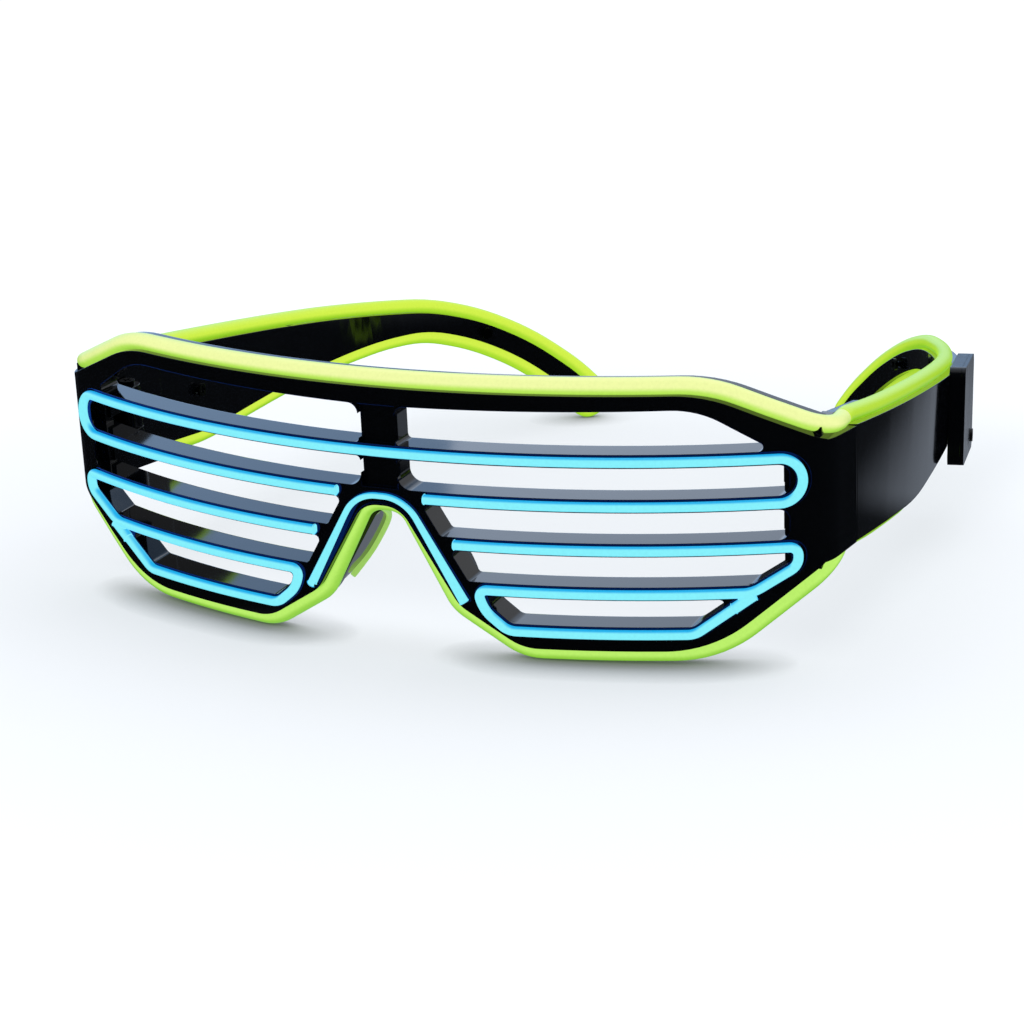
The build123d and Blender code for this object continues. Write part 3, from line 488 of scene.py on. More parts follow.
def low_cover(name, shell_name):
    """Inner cover as low as the shell, so that the wire shows whole from inside as well."""
    work = merged_copy(shell_name)
    worn = LAID.inverted()
    kept = []
    for face in work.faces:
        places = [worn @ v.co / MM for v in face.verts]
        outs = [temple_out(place)[0] for place in places]
        on_joint = max(abs(out - JOINT_OUT) for out in outs) < JOINT_SLACK
        if on_joint and min(place.y for place in places) > HEAD_END:
            kept.append(face)
    if not kept:
        raise RuntimeError("the shell " + shell_name + " has no joint face")
    others = set(work.faces) - set(kept)
    bmesh.ops.delete(work, geom=list(others), context="FACES")
    turn = LAID.to_3x3()
    for vert in work.verts:
        vert.co += turn @ -temple_out(worn @ vert.co / MM)[1] * COVER_GAP * MM
    grown = bmesh.ops.extrude_face_region(work, geom=work.faces[:])
    for vert in (item for item in grown["geom"] if isinstance(item, bmesh.types.BMVert)):
        vert.co += turn @ -temple_out(worn @ vert.co / MM)[1] * COVER_THICKNESS * MM
    return mesh_of(name, work)


# The wires at the nose, worn, in millimetres
NOSE_FOOT_Z = (-27.0, -22.5)        # where the rim wire starts to sink into its groove, and ends
NOSE_REACH_X = 14.0
NOSE_ROUND_X = 5.0          # half width of the round top
NOSE_SINK = {"rim_wire": 0.5, "nose_wire": 0.45}    # towards the frame
NOSE_SLIM = {"rim_wire": 0.4, "nose_wire": 0.3}     # off the wire's radius
RIM_SLIM = 0.22             # off the radius of the rim wire
NOSE_FLANK_X = 0.862        # share of the way off the nose that points sideways on a flank
BLUE_SLIM = 0.16            # off the radius of every blue wire, pressed into its groove
TIP_ROUND = 0.55            # rounding of a wire's cut end
TIP_ANGLE = math.radians(75)


def seated(name, node_name, slim):
    """A wire pressed into its groove, with rounded ends, and sunk deeper round the nose.

    The rim wire goes on past the nose on both sides, so that it sinks little by little there.
    """
    work = merged_copy(node_name)
    bmesh.ops.recalc_face_normals(work, faces=work.faces[:])
    ends = [] if node_name == "rim_wire" else [
        edge for edge in work.edges
        if len(edge.link_faces) == 2 and edge.calc_face_angle(0) > TIP_ANGLE
    ]
    bmesh.ops.bevel(
        work, geom=ends, offset=TIP_ROUND * MM, segments=4, profile=0.5, affect="EDGES",
        clamp_overlap=True,
    )
    work.normal_update()
    worn = LAID.inverted()
    turn = LAID.to_3x3()
    sink, thin = NOSE_SINK.get(node_name, 0), NOSE_SLIM.get(node_name, 0)
    for vert in work.verts:
        place = worn @ vert.co / MM
        move = -vert.normal * slim
        if sink and abs(place.x) < NOSE_REACH_X:
            share = (place.z - NOSE_FOOT_Z[0]) / (NOSE_FOOT_Z[1] - NOSE_FOOT_Z[0])
            share = 1 if node_name == "nose_wire" else max(0, min(share, 1))
            share = share * share * (3 - 2 * share)
            across = max(-1, min(place.x / NOSE_ROUND_X, 1)) * NOSE_FLANK_X
            way = turn @ Vector((across, 0, math.sqrt(1 - across * across)))
            move += (way * sink - vert.normal * thin) * share
        vert.co += move * MM
    return mesh_of(name, work)


def new_tree(name, sockets):
    """A geometry node tree with its inputs named, and the sockets that give them."""
    tree = bpy.data.node_groups.new(name, "GeometryNodeTree")
    tree.interface.new_socket("Geometry", in_out="INPUT", socket_type="NodeSocketGeometry")
    for label, kind in sockets.items():
        tree.interface.new_socket(label, in_out="INPUT", socket_type="NodeSocket" + kind)
    tree.interface.new_socket("Geometry", in_out="OUTPUT", socket_type="NodeSocketGeometry")
    return tree, add_node(tree, "NodeGroupInput").outputs


def close_tree(tree, geometry, material):
    """Realizes the instances, sets their material and ends the tree."""
    real = add_node(tree, "GeometryNodeRealizeInstances", {0: geometry})
    painted = add_node(tree, "GeometryNodeSetMaterial", {0: real.outputs[0], "Material": material})
    add_node(tree, "NodeGroupOutput", {0: painted.outputs[0]})


def grown(name, base, tree, settings, body, slot, stands_for=()):
    """Runs a node tree on a base mesh or curve once, and keeps the plain mesh."""
    holder = bpy.data.objects.new(name + "_base", base)
    bpy.context.scene.collection.objects.link(holder)
    modifier = holder.modifiers.new(name, "NODES")
    modifier.node_group = tree
    for socket in tree.interface.items_tree:
        if socket.item_type == "SOCKET" and socket.in_out == "INPUT" and socket.name in settings:
            modifier[socket.identifier] = settings[socket.name]
    holder.update_tag()
    graph = bpy.context.evaluated_depsgraph_get()
    mesh = bpy.data.meshes.new_from_object(holder.evaluated_get(graph), depsgraph=graph)
    bpy.data.objects.remove(holder)
    if not mesh.polygons:
        raise RuntimeError("the node tree of " + name + " made nothing")
    mesh.name = name
    return linked(name, mesh, settings["Material"], body, stands_for)


def lowered(tree, geometry, depth):
    """Geometry let down by a depth."""
    place = add_node(tree, "ShaderNodeCombineXYZ", {"Z": times(tree, depth, -1.0)})
    moved = add_node(
        tree, "GeometryNodeTransform", {0: geometry, "Translation": place.outputs[0]}
    )
    return moved.outputs[0]


def tube(tree, curve, radius, sides):
    """A round wire along a curve, with closed ends."""
    section = add_node(
        tree, "GeometryNodeCurvePrimitiveCircle", {"Resolution": sides, "Radius": radius}
    )
    made = add_node(
        tree, "GeometryNodeCurveToMesh",
        {"Curve": curve, "Profile Curve": section.outputs[0], "Fill Caps": True},
    )
    return made.outputs[0]


def spiral(tree, resolution, turns, radius, height):
    """A helix of even radius."""
    made = add_node(
        tree, "GeometryNodeCurveSpiral",
        {
            "Resolution": resolution, "Rotations": turns, "Start Radius": radius,
            "End Radius": radius, "Height": height,
        },
    )
    return made.outputs[0]


def cylinder(tree, sides, radius, height):
    """An upright cylinder round the middle."""
    made = add_node(
        tree, "GeometryNodeMeshCylinder", {"Vertices": sides, "Radius": radius, "Depth": height}
    )
    return made.outputs[0]


THREAD_PITCH = 0.4 * MM
THREAD_CREST = 0.06 * MM
RECESS_BAR = (1.25, 0.3, 0.9)   # length, width and height of a bar, in head radii
SELF_CROSSING = 2           # number of the exact solver's input for parts that cross


def screw_tree():
    """Cross recess screws: a head on each point, turned to the point's axis, with a thread."""
    tree, given = new_tree("cross_screws", {
        "Head Radius": "Float", "Head Height": "Float", "Shank Radius": "Float",
        "Shank Length": "Float", "Material": "Material",
    })
    head_height, shank_length = given["Head Height"], given["Shank Length"]
    crossed = add_node(
        tree, "GeometryNodeMeshBoolean",
        {
            "Mesh 1": cylinder(tree, 48, given["Head Radius"], head_height),
            SELF_CROSSING: True,
        },
        operation="DIFFERENCE", solver="EXACT",
    )
    for turn in (0.0, math.pi / 2):
        size = add_node(
            tree, "ShaderNodeVectorMath", {0: RECESS_BAR, "Scale": given["Head Radius"]},
            operation="SCALE",
        )
        bar = add_node(tree, "GeometryNodeMeshCube", {"Size": size.outputs[0]})
        top = add_node(tree, "ShaderNodeCombineXYZ", {"Z": head_height})
        cut = add_node(
            tree, "GeometryNodeTransform",
            {0: bar.outputs[0], "Translation": top.outputs[0], "Rotation": (0, 0, turn)},
        )
        tree.links.new(cut.outputs[0], crossed.inputs["Mesh 2"])
    half_shank = times(tree, shank_length, 0.5)
    helix = spiral(
        tree, 20, maths(tree, "DIVIDE", shank_length, THREAD_PITCH), given["Shank Radius"],
        shank_length,
    )
    parts = (
        (crossed.outputs[0], times(tree, head_height, 0.5)),
        (
            cylinder(tree, 24, given["Shank Radius"], shank_length),
            maths(tree, "ADD", half_shank, head_height),
        ),
        (tube(tree, helix, THREAD_CREST, 6), maths(tree, "ADD", head_height, shank_length)),
    )
    whole = add_node(tree, "GeometryNodeJoinGeometry")
    for part, depth in parts:
        tree.links.new(lowered(tree, part, depth), whole.inputs[0])
    axis = add_node(
        tree, "GeometryNodeInputNamedAttribute", {"Name": "axis"}, data_type="FLOAT_VECTOR"
    )
    turned = add_node(
        tree, "FunctionNodeAlignRotationToVector", {"Vector": axis.outputs["Attribute"]}, axis="Z"
    )
    placed = add_node(
        tree, "GeometryNodeInstanceOnPoints",
        {"Points": given["Geometry"], "Instance": whole.outputs[0], "Rotation": turned.outputs[0]},
    )
    close_tree(tree, placed.outputs[0], given["Material"])
    return tree


def coil_tree():
    """Copper winding: a wire wound in layers on its core, along the core's axis."""
    tree, given = new_tree("winding", {
        "Inner Radius": "Float", "Height": "Float", "Wire Radius": "Float", "Turns": "Float",
        "Layers": "Int", "Material": "Material",
    })
    points = add_node(
        tree, "GeometryNodeMeshLine",
        {"Count": given["Layers"], "Start Location": (0, 0, 0), "Offset": (0, 0, 0)},
    )
    number = add_node(tree, "GeometryNodeInputIndex").outputs[0]
    step = times(tree, number, given["Wire Radius"], 2.0)
    radius = maths(tree, "ADD", step, given["Inner Radius"])
    size = add_node(tree, "ShaderNodeCombineXYZ", {"X": radius, "Y": radius, "Z": 1.0})
    layers = add_node(
        tree, "GeometryNodeInstanceOnPoints",
        {
            "Points": points.outputs[0], "Scale": size.outputs[0],
            "Instance": spiral(tree, 48, given["Turns"], 1.0, given["Height"]),
        },
    )
    curves = add_node(tree, "GeometryNodeRealizeInstances", {0: layers.outputs[0]})
    wire = tube(tree, curves.outputs[0], given["Wire Radius"], 8)
    close_tree(tree, wire, given["Material"])
    return tree


def glint_tree():
    """A round tube along a curve, which stands for a painted glint."""
    tree, given = new_tree("bead", {"Radius": "Float", "Step": "Float", "Material": "Material"})
    even = add_node(
        tree, "GeometryNodeResampleCurve", {0: given["Geometry"], "Length": given["Step"]},
        mode="LENGTH",
    )
    close_tree(tree, tube(tree, even.outputs[0], given["Radius"], 16), given["Material"])
    return tree


def points_mesh(name, places, axes):
    """Points in millimetres, each with its axis."""
    mesh = bpy.data.meshes.new(name)
    mesh.from_pydata([Vector(place) * MM for place in places], [], [])
    attribute = mesh.attributes.new("axis", "FLOAT_VECTOR", "POINT")
    for number, axis in enumerate(axes):
        attribute.data[number].vector = axis
    return mesh


# Screws: middle of the head's top and the way it faces, on the table, in millimetres
COVER_SCREWS = (
    ((69.9777, -28.0592, 28.0938), (-0.99989, -0.01474, -0.00086)),
    ((48.1007, 63.9405, 23.4447), (-0.80095, -0.59717, -0.0431)),
)
LID_SCREW = ((74.6117, 23.4747, 18.5961), (0.98387, 0.17842, 0.01282))
HINGE_SCREW = ((67.9, -59.2808, 36.8439), (0.0, -0.07167, 0.99743))
SCREW_PROUD = 0.02          # of the cover, so that the two faces don't lie in one plane

# Head radius, head height, shank radius and shank length, in millimetres
COVER_SCREW_SIZE = (1.3, 0.6, 0.5, 2.6)
LID_SCREW_SIZE = (1.3, 0.6, 0.5, 1.5)
HINGE_SCREW_SIZE = (1.5, 0.8, 0.74, 11.6)
SCREW_SIZE_NAMES = ("Head Radius", "Head Height", "Shank Radius", "Shank Length")


def flipped(vector):
    """The same place or way on the wearer's right."""
    return (-vector[0], vector[1], vector[2])


# Pale painted reflection of the green wire on the rear edge of a nose wing, worn, in millimetres
GLINT_POINTS = (
    (3.9, -11.6), (8.2, -13.6), (12.2, -16.4), (12.9, -20.3), (12.2, -24.2), (8.6, -26.9),
)
GLINT_RADIUS = 0.55
GLINT_STEP = 0.4
GLINT_FOOT = (-11.4, -27.77)         # X and Z at the wing's foot, on the wearer's right
GLINT_SLOPE = 0.592


def glint_curve(side):
    """Smooth curve along the rear edge of one nose wing."""
    curve = bpy.data.curves.new("wing_glint", "CURVE")
    curve.dimensions = "3D"
    line = curve.splines.new("NURBS")
    line.points.add(len(GLINT_POINTS) - 1)
    for point, (back, height) in zip(line.points, GLINT_POINTS):
        across = GLINT_FOOT[0] + (height - GLINT_FOOT[1]) * GLINT_SLOPE
        place = LAID @ (Vector((-side * across, back, height)) * MM)
        point.co = (*place, 1.0)
    line.order_u = 3
    line.use_endpoint_u = True
    return curve


class GLASSES_OT_fasteners(bpy.types.Operator):
    """Puts cross recess screws in the covers, the lid and the hinges"""

    bl_idname = "glasses.fasteners"
    bl_label = "Build Screws"

    def execute(self, context):
        tree = screw_tree()
        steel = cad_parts["lid_screw"].data.materials[0]
        rows = {
            "cover_screws_left": (COVER_SCREWS, COVER_SCREW_SIZE, "left_temple"),
            "lid_screw": ((LID_SCREW,), LID_SCREW_SIZE, "left_temple"),
            "hinge_screw_left": ((HINGE_SCREW,), HINGE_SCREW_SIZE, "front"),
        }
        for name, (screws, size, body) in rows.items():
            settings = {label: value * MM for label, value in zip(SCREW_SIZE_NAMES, size)}
            settings["Material"] = steel
            for side in ("left", "right"):
                node = name.replace("left", side)
                if side == "right" and node == name:
                    continue
                turn = flipped if side == "right" else tuple
                axes = [Vector(turn(axis)) for place, axis in screws]
                places = [
                    Vector(turn(place)) + axis * SCREW_PROUD
                    for (place, _), axis in zip(screws, axes)
                ]
                grown(
                    "cross_" + node, points_mesh(node + "_points", places, axes), tree, settings,
                    body.replace("left", side), "steel", (node,),
                )
        return {"FINISHED"}


def lathe(outline, place, axis):
    """Mesh code of a turned piece: radius and height in millimetres, spun round an axis."""
    work = bmesh.new()
    points = [work.verts.new((radius, 0, height)) for radius, height in outline]
    edges = [work.edges.new(pair) for pair in zip(points, points[1:])]
    bmesh.ops.spin(
        work, geom=points + edges, cent=(0, 0, 0), axis=(0, 0, 1), angle=2 * math.pi, steps=72,
        use_merge=True,
    )
    bmesh.ops.remove_doubles(work, verts=work.verts[:], dist=0.001)
    turn = Vector((0, 0, 1)).rotation_difference(Vector(axis)).to_matrix().to_4x4()
    whole = Matrix.Translation(Vector(place) * MM) @ turn @ Matrix.Scale(MM, 4)
    bmesh.ops.transform(work, matrix=whole, verts=work.verts[:])
    return work


# The case's own directions on the table
CASE_OUT = Vector((0.983854, 0.178511, 0.012827))
CASE_ALONG = Vector((-0.17625, 0.97887, -0.10376))
CASE_UP = CASE_OUT.cross(CASE_ALONG)


def bevelled_box(size, place, round_edge):
    """Mesh code of a box with rounded edges, turned like the case, in millimetres."""
    box = bmesh.new()
    bmesh.ops.create_cube(box, size=1.0)
    bmesh.ops.scale(box, vec=size, verts=box.verts[:])
    bmesh.ops.bevel(
        box, geom=box.edges[:], offset=round_edge, segments=2, profile=0.5, affect="EDGES"
    )
    for vert in box.verts:
        local = vert.co
        laid = place + CASE_ALONG * local.x + CASE_UP * local.y + CASE_OUT * local.z
        vert.co = laid * MM
    return box


# Driver parts, where they stand on the board, on the table, in millimetres
COIL_BASE = Vector((74.1392, 13.6844, 19.5619))
CORE_OUTLINE = (
    (0, 0), (1.75, 0), (1.75, 0.16), (0.8, 0.16), (0.8, 0.74), (1.75, 0.74), (1.75, 0.9), (0, 0.9),
)
WINDING_LIFT = 0.23         # above the foot of the core
WINDING_SIZE = {"Inner Radius": 0.88 * MM, "Height": 0.44 * MM, "Wire Radius": 0.06 * MM}
WINDING_COUNT = {"Turns": 4.0, "Layers": 6}
CELL_BASES = {"cell_front": (73.2109, 15.9499, 28.0574), "cell_rear": (70.9196, 28.6751, 26.7085)}
CELL_OUTLINE = (
    (0, 0), (5.9, 0), (6.15, 0.08), (6.24, 0.3), (6.24, 1.3), (6.12, 1.46), (5.75, 1.5),
    (5.62, 1.28), (5.42, 1.28), (5.32, 1.52), (5.1, 1.59), (0, 1.59),
)
CAPACITOR_MIDDLE = Vector((73.58105, 19.0421, 19.00875))
CAPACITOR_BODY = (2.5, 1.7, 0.74)
CAPACITOR_END = (0.4, 1.8, 0.8)
CAPACITOR_END_OFFSET = 1.39
CAPACITOR_EDGE = 0.06


class GLASSES_OT_driver_parts(bpy.types.Operator):
    """Builds the wound coil, cells and capacitor, and finishes board, switch and button"""

    bl_idname = "glasses.driver_parts"
    bl_label = "Build Driver Parts"

    def execute(self, context):
        rubber = grained("moulded_black_rubber", "#0D0D0E", "#17181A", 0.6, 0.25, 0.01)
        ferrite = grained("sintered_ferrite", "#2A2A2C", "#3A393A", 0.5, 0.1, 0.01)
        ceramic = grained("fired_ceramic", "#8B6B4B", "#A07E5A", 0.45, 0.2, 0.004)
        board = grained("green_solder_mask", "#0F4A2A", "#1B6B3E", 0.35, 1.4, 0.02)
        moulded = grained("moulded_switch_nylon", "#151515", "#242424", 0.5, 0.15, 0.005)
        copper = metal("enamelled_copper", linear("#B4602C"), 0.25, 0.3, (1, 1, 1))
        tin = metal("tinned_copper", linear("#C8C8C4"), 0.3, 0.15, (1, 1, 1))
        dress("mode_button", rubber)
        dress("mode_switch", moulded)
        dress("driver_board", board)
        core = mesh_of("coil_core", lathe(CORE_OUTLINE, COIL_BASE, CASE_OUT))
        linked("coil_core", core, ferrite, "left_temple", ("inverter_coil",))
        start = points_mesh("winding_start", [(0, 0, 0)], [(0, 0, 1)])
        winding = grown(
            "coil_winding", start, coil_tree(),
            {**WINDING_SIZE, **WINDING_COUNT, "Material": copper}, "left_temple", "coil",
        )
        turn = Vector((0, 0, 1)).rotation_difference(CASE_OUT).to_matrix().to_4x4()
        lift = Matrix.Translation((COIL_BASE + CASE_OUT * WINDING_LIFT) * MM)
        winding.data.transform(lift @ turn)
        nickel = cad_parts["cell_front"].data.materials[0]
        for node, base in CELL_BASES.items():
            cell = lathe(CELL_OUTLINE, base, CASE_OUT)
            linked("turned_" + node, mesh_of(node, cell), nickel, "left_temple", (node,))
        body = bevelled_box(CAPACITOR_BODY, CAPACITOR_MIDDLE, CAPACITOR_EDGE)
        linked(
            "capacitor_body", mesh_of("capacitor_body", body), ceramic, "left_temple",
            ("filter_capacitor",),
        )
        for end, side in (("front", -1), ("rear", 1)):
            name = "capacitor_end_" + end
            place = CAPACITOR_MIDDLE + CASE_ALONG * side * CAPACITOR_END_OFFSET
            cap = bevelled_box(CAPACITOR_END, place, CAPACITOR_EDGE)
            linked(name, mesh_of(name, cap), tin, "left_temple")
        return {"FINISHED"}


class GLASSES_OT_wing_glints(bpy.types.Operator):
    """Puts the pale glint, a painted reflection of the green wire, on the rear edge of each nose
    wing
    """

    bl_idname = "glasses.wing_beads"
    bl_label = "Build Wing Beads"

    def execute(self, context):
        wire = context.scene.glasses_wire
        # Painted reflection: a glowing pale green tube for the green wire mirrored in the wing's
        # rear edge
        pale = lit_jacket(
            "painted_glint_green", ((-0.6, wire.bead), (0.1, wire.bead), (0.9, wire.bead)),
            (0.8, 0.9, 0.7), wire.bead,
        )
        tree = glint_tree()
        sizes = {"Radius": GLINT_RADIUS * MM, "Step": GLINT_STEP * MM, "Material": pale}
        for name, side in (("left", 1), ("right", -1)):
            grown("wing_glint_" + name, glint_curve(side), tree, sizes, "front", "green_wire")
        return {"FINISHED"}


class GLASSES_OT_wire_seats(bpy.types.Operator):
    """Lowers the inner covers and presses the rim wire and the blue wires into their grooves"""

    bl_idname = "glasses.wire_seats"
    bl_label = "Seat Wires"

    def execute(self, context):
        for side in ("left", "right"):
            name = "low_cover_" + side
            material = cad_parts["temple_" + side].data.materials[0]
            linked(
                name, low_cover(name, "temple_" + side), material, side + "_temple",
                ("temple_cover_" + side,),
            )
        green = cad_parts["rim_wire"].data.materials[0]
        linked(
            "seated_rim_wire", seated("seated_rim_wire", "rim_wire", RIM_SLIM), green, "front",
            ("rim_wire",),
        )
        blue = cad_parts["nose_wire"].data.materials[0]
        for node in ("slat_wire_upper", "slat_wire_left", "slat_wire_right", "nose_wire"):
            name = "seated_" + node
            linked(name, seated(name, node, BLUE_SLIM), blue, "front", (node,))
        return {"FINISHED"}


class GLASSES_OT_studio(bpy.types.Operator):
    """Builds the white floor, the soft lamps and the camera"""

    bl_idname = "glasses.studio"
    bl_label = "Build Studio"

    def execute(self, context):
        studio = context.scene.glasses_studio
        build_floor(studio)
        build_world(context.scene)
        build_lamps(studio)
        build_camera(context.scene, studio)
        context.scene.view_settings.view_transform = "Standard"
        return {"FINISHED"}


# Studio, in metres
FLOOR_SIDE = 12.0
SHADOW_SHARE = 0.36         # of the floor's lit colour that the camera sees, the rest is its glow
FLOOR_GLOW = (0.97, 1.0, 1.03, 1.0)
NEAR_LIFT = 0.69            # glow beside the object
FAR_LIFT = 0.9              # and far away, where the floor is plain white
SHADOW_REACH = (0.09, 0.30)         # where the floor starts to fade to white, and where it is white
CONTACT_REACH = 0.009       # from the object, where its painted contact shadow is deep
CONTACT_POWER = 1.3
BETWEEN_DIM = 0.08          # painted shade: less glow on the floor between the temples
BETWEEN_SIDE = (0.085, 0.065)       # from the middle to each side
BETWEEN_START = (-0.075, -0.045)    # behind the front
BETWEEN_END = (0.14, 0.07)          # before the temple tips
TEMPLE_REFLECTION_MIDDLE = 0.083         # of the painted pale patch on the floor, a painted reflection in the temple's gloss
TEMPLE_REFLECTION_FADE = (0.042, 0.006)          # from its middle: faded out, and still full
TEMPLE_REFLECTION_START = (0.02, 0.05)           # behind the middle of the glasses
NOSE_REFLECTION_PLACE = (-0.01, -0.055, 0.0)  # of the painted pale patch, a painted reflection in the nose wings
NOSE_REFLECTION_FADE = (0.045, 0.025)
GLOSS_FLOOR = (0.03, 0.5)   # painted brightness of the floor in reflections, beside and on the painted patches


def build_floor(studio):
    """White sweep that keeps the shadow and fades to white for the camera, with a painted contact
    shadow close to the object and painted shade on the floor between the temples.

    In reflections it is painted dim, as beside black cards, so that gloss black stays black, but
    for two painted reflections: a pale patch behind the wearer's left temple, and a pale patch that
    the nose wings mirror.
    """
    material, tree = new_material("white_paper_sweep")
    place = object_place(tree)
    fibre = noise(tree, place, 0.8 * MM)
    colour = studio.floor_colour
    paper = blend(tree, fibre, rgba(colour, 0.82), rgba(colour, 0.84))
    surface = add_node(tree, "ShaderNodeBsdfDiffuse", {"Color": paper})
    faint = blend(tree, SHADOW_SHARE, (0, 0, 0, 1), paper)
    shaded = add_node(tree, "ShaderNodeBsdfDiffuse", {"Color": faint})
    distance = add_node(tree, "ShaderNodeVectorMath", {0: place}, operation="LENGTH")
    lift = faded(tree, distance.outputs["Value"], *SHADOW_REACH, NEAR_LIFT, FAR_LIFT)
    # Painted contact shadow: the glow fades where occlusion finds the object close by
    closeness = add_node(
        tree, "ShaderNodeAmbientOcclusion", {"Distance": CONTACT_REACH}, samples=8
    )
    contact = maths(tree, "POWER", closeness.outputs["AO"], CONTACT_POWER)
    parts = add_node(tree, "ShaderNodeSeparateXYZ", {"Vector": place}).outputs
    # Painted shade: less glow on the floor between the temples
    between = faded(tree, maths(tree, "ABSOLUTE", parts["X"]), *BETWEEN_SIDE)
    past_front = faded(tree, parts["Y"], *BETWEEN_START, 0.0, BETWEEN_DIM)
    before_tips = faded(tree, parts["Y"], *BETWEEN_END)
    dimmed = times(tree, between, times(tree, past_front, before_tips))
    kept = times(tree, maths(tree, "SUBTRACT", lift, dimmed), contact)
    glow = add_node(tree, "ShaderNodeEmission", {"Color": FLOOR_GLOW, "Strength": kept})
    seen = add_node(tree, "ShaderNodeAddShader", {0: shaded.outputs[0], 1: glow.outputs[0]})
    # Painted reflections: pale patches that only reflections see, behind the wearer's left temple
    # and by the nose wings
    behind = faded(tree, parts["Y"], *TEMPLE_REFLECTION_START)
    offset = maths(tree, "SUBTRACT", parts["X"], TEMPLE_REFLECTION_MIDDLE)
    temple_reflection_patch = times(tree, behind, faded(tree, maths(tree, "ABSOLUTE", offset), *TEMPLE_REFLECTION_FADE))
    from_nose_reflection_patch = add_node(
        tree, "ShaderNodeVectorMath", {0: place, 1: NOSE_REFLECTION_PLACE}, operation="DISTANCE"
    )
    nose_reflection_patch = faded(tree, from_nose_reflection_patch.outputs["Value"], *NOSE_REFLECTION_FADE)
    both = maths(tree, "MAXIMUM", temple_reflection_patch, nose_reflection_patch)
    # Painted reflection: the floor as reflections see it, dim but for those patches
    level = mapped(tree, both, (0, GLOSS_FLOOR[0]), (1, GLOSS_FLOOR[1]))
    gloss = add_node(
        tree, "ShaderNodeEmission", {"Color": rgba(linear("#DCE8FA")), "Strength": level}
    )
    ray = add_node(tree, "ShaderNodeLightPath").outputs
    direct = add_node(
        tree, "ShaderNodeMixShader",
        {0: ray["Is Camera Ray"], 1: surface.outputs[0], 2: seen.outputs[0]},
    )
    close_material(tree, add_node(
        tree, "ShaderNodeMixShader",
        {0: ray["Is Glossy Ray"], 1: direct.outputs[0], 2: gloss.outputs[0]},
    ))
    mesh = bpy.data.meshes.new("studio_floor")
    half = FLOOR_SIDE / 2
    corners = [(-half, -half, 0), (half, -half, 0), (half, half, 0), (-half, half, 0)]
    mesh.from_pydata(corners, [], [(0, 1, 2, 3)])
    mesh.materials.append(material)
    floor = bpy.data.objects.new("studio_floor", mesh)
    bpy.context.scene.collection.objects.link(floor)


def build_world(scene):
    """White room for the camera, and for the gloss a bright wall behind and a dim one in front.

    In reflections the wall is brighter on the wearer's right and dark on the left.
    """
    world = bpy.data.worlds.new("white_room")
    scene.world = world
    world.use_nodes = True
    tree = world.node_tree
    tree.nodes.clear()
    way = add_node(tree, "ShaderNodeTexCoord").outputs["Generated"]
    parts = add_node(tree, "ShaderNodeSeparateXYZ", {"Vector": way}).outputs
    behind = faded(tree, parts["Y"], -0.7, 0.5, 0.10, 1.1)
    leftward = faded(tree, parts["X"], -0.2, -0.6, 1.0, 1.7)
    rightward = faded(tree, parts["X"], 0.05, 0.35, 1.0, 0.12)
    ray = add_node(tree, "ShaderNodeLightPath").outputs
    gloss_only = mapped(
        tree, ray["Is Glossy Ray"], (0, 1), (1, times(tree, leftward, rightward))
    )
    tint = blend(
        tree, ray["Is Glossy Ray"], rgba(linear("#E6EEFA")), rgba(linear("#AACDF8"))
    )
    room = add_node(
        tree, "ShaderNodeBackground",
        {"Color": tint, "Strength": times(tree, behind, gloss_only)},
    )
    white = add_node(tree, "ShaderNodeBackground", {"Color": rgba(WHITE)})
    seen = maths(tree, "MAXIMUM", ray["Is Camera Ray"], ray["Is Transmission Ray"])
    mix = add_node(
        tree, "ShaderNodeMixShader", {0: seen, 1: room.outputs[0], 2: white.outputs[0]}
    )
    add_node(tree, "ShaderNodeOutputWorld", {"Surface": mix.outputs[0]})


def add_lamp(name, size, place, target, power):
    """A white soft box that faces a point."""
    lamp = bpy.data.lights.new(name, "AREA")
    lamp.shape = "RECTANGLE"
    lamp.size, lamp.size_y = size
    lamp.energy = power
    body = bpy.data.objects.new(name, lamp)
    body.location = place
    body.rotation_euler = (Vector(target) - Vector(place)).to_track_quat("-Z", "Y").to_euler()
    bpy.context.scene.collection.objects.link(body)


BACK_SHARE = 0.4            # of the top lamp's power


def build_lamps(studio):
    """A wide soft box above and a weak one behind."""
    power = studio.lamp_power
    add_lamp("top_box", (0.9, 0.9), (0.05, 0.15, 0.75), (0, 0, 0), power)
    add_lamp("back_box", (1.2, 0.5), (0.1, 0.9, 0.45), (0, 0, 0.02), power * BACK_SHARE)


CAMERA_PLACE = Vector((187.3, -360.5, 130.6)) * MM


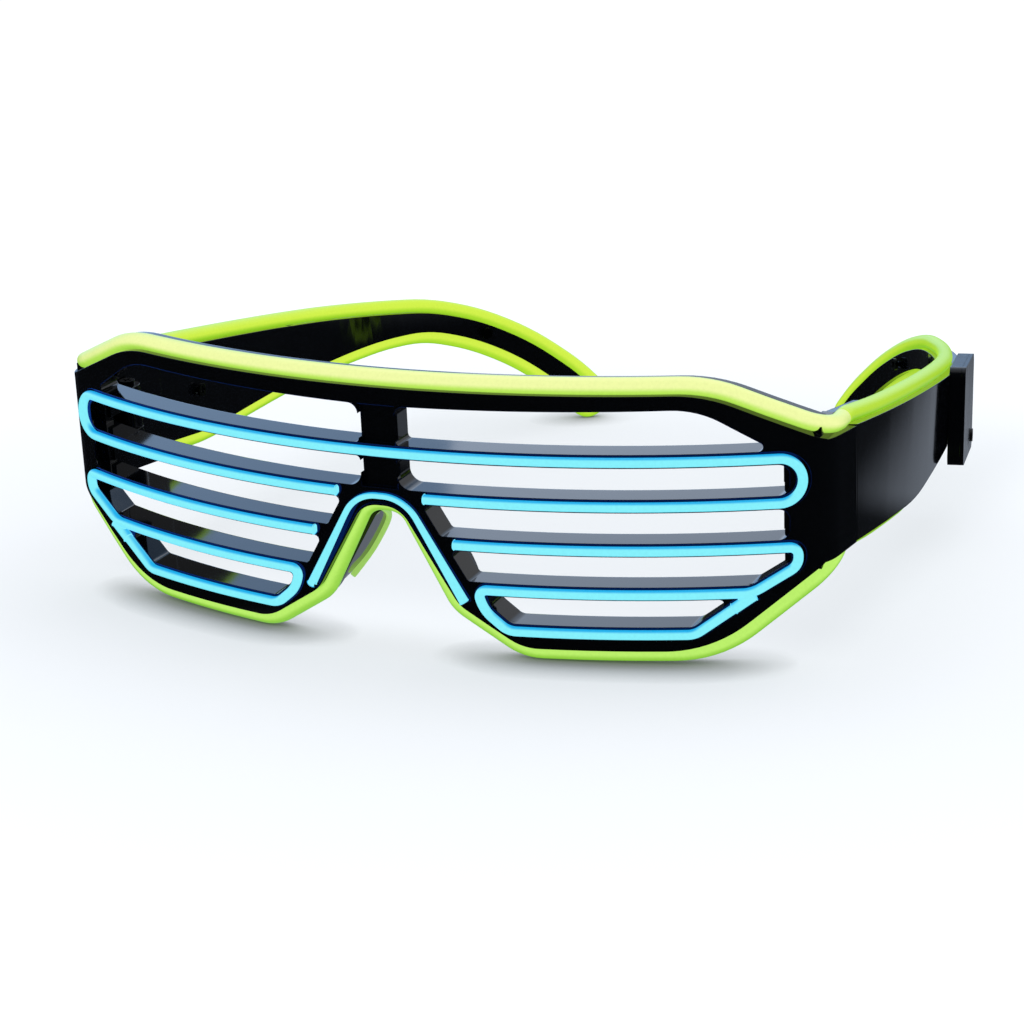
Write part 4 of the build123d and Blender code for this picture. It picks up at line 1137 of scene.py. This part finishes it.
def build_camera(scene, studio):
    """Camera at the photograph's angle. Its place is set while worn, then laid on the table."""
    turn, pitch, roll = studio.camera_turn, studio.camera_pitch, studio.camera_roll
    forward = Vector((
        -math.sin(turn) * math.cos(pitch), math.cos(turn) * math.cos(pitch), -math.sin(pitch)
    ))
    side = Vector((math.cos(turn), math.sin(turn), 0))
    up = side.cross(forward)
    right = side * math.cos(roll) + up * math.sin(roll)
    top = -side * math.sin(roll) + up * math.cos(roll)
    axes = Matrix((right, top, -forward)).transposed().to_4x4()
    camera = bpy.data.cameras.new("studio_camera")
    camera.sensor_width = 36.0
    camera.lens = studio.lens
    camera.clip_start, camera.clip_end = 0.01, 50.0
    holder = bpy.data.objects.new("studio_camera", camera)
    holder.matrix_world = LAID @ Matrix.Translation(CAMERA_PLACE) @ axes
    scene.collection.objects.link(holder)
    scene.camera = holder


class GLASSES_PT_panel(bpy.types.Panel):
    """Lists the sizes, colours and steps of the glasses"""

    bl_label = "Slatted Glasses"
    bl_idname = "GLASSES_PT_panel"
    bl_space_type = "VIEW_3D"
    bl_region_type = "UI"
    bl_category = LABEL

    def draw(self, context):
        for group in (
            context.scene.glasses_plastic, context.scene.glasses_wire, context.scene.glasses_studio
        ):
            box = self.layout.box()
            for name in group.__annotations__:
                box.prop(group, name)
        for step in STEPS:
            self.layout.operator(step.bl_idname)


GROUPS = {
    "glasses_plastic": GlassesPlastic,
    "glasses_wire": GlassesWire,
    "glasses_studio": GlassesStudio,
}
STEPS = (
    GLASSES_OT_mouldings, GLASSES_OT_lit_wires, GLASSES_OT_small_metal, GLASSES_OT_wire_seats,
    GLASSES_OT_fasteners, GLASSES_OT_wing_glints, GLASSES_OT_driver_parts, GLASSES_OT_studio,
)


def register():
    """Adds the settings, the steps and the panel."""
    for group in GROUPS.values():
        bpy.utils.register_class(group)
    for step in (*STEPS, GLASSES_PT_panel):
        bpy.utils.register_class(step)
    for name, group in GROUPS.items():
        setattr(bpy.types.Scene, name, PointerProperty(type=group))


def unregister():
    """Takes them out again."""
    for name in GROUPS:
        delattr(bpy.types.Scene, name)
    for step in (GLASSES_PT_panel, *reversed(STEPS)):
        bpy.utils.unregister_class(step)
    for group in reversed(GROUPS.values()):
        bpy.utils.unregister_class(group)


def main():
    """Runs every step in order."""
    register()
    bpy.ops.glasses.mouldings()
    bpy.ops.glasses.lit_wires()
    bpy.ops.glasses.small_metal()
    bpy.ops.glasses.wire_seats()
    bpy.ops.glasses.fasteners()
    bpy.ops.glasses.wing_beads()
    bpy.ops.glasses.driver_parts()
    bpy.ops.glasses.studio()


if __name__ == "__main__":
    main()
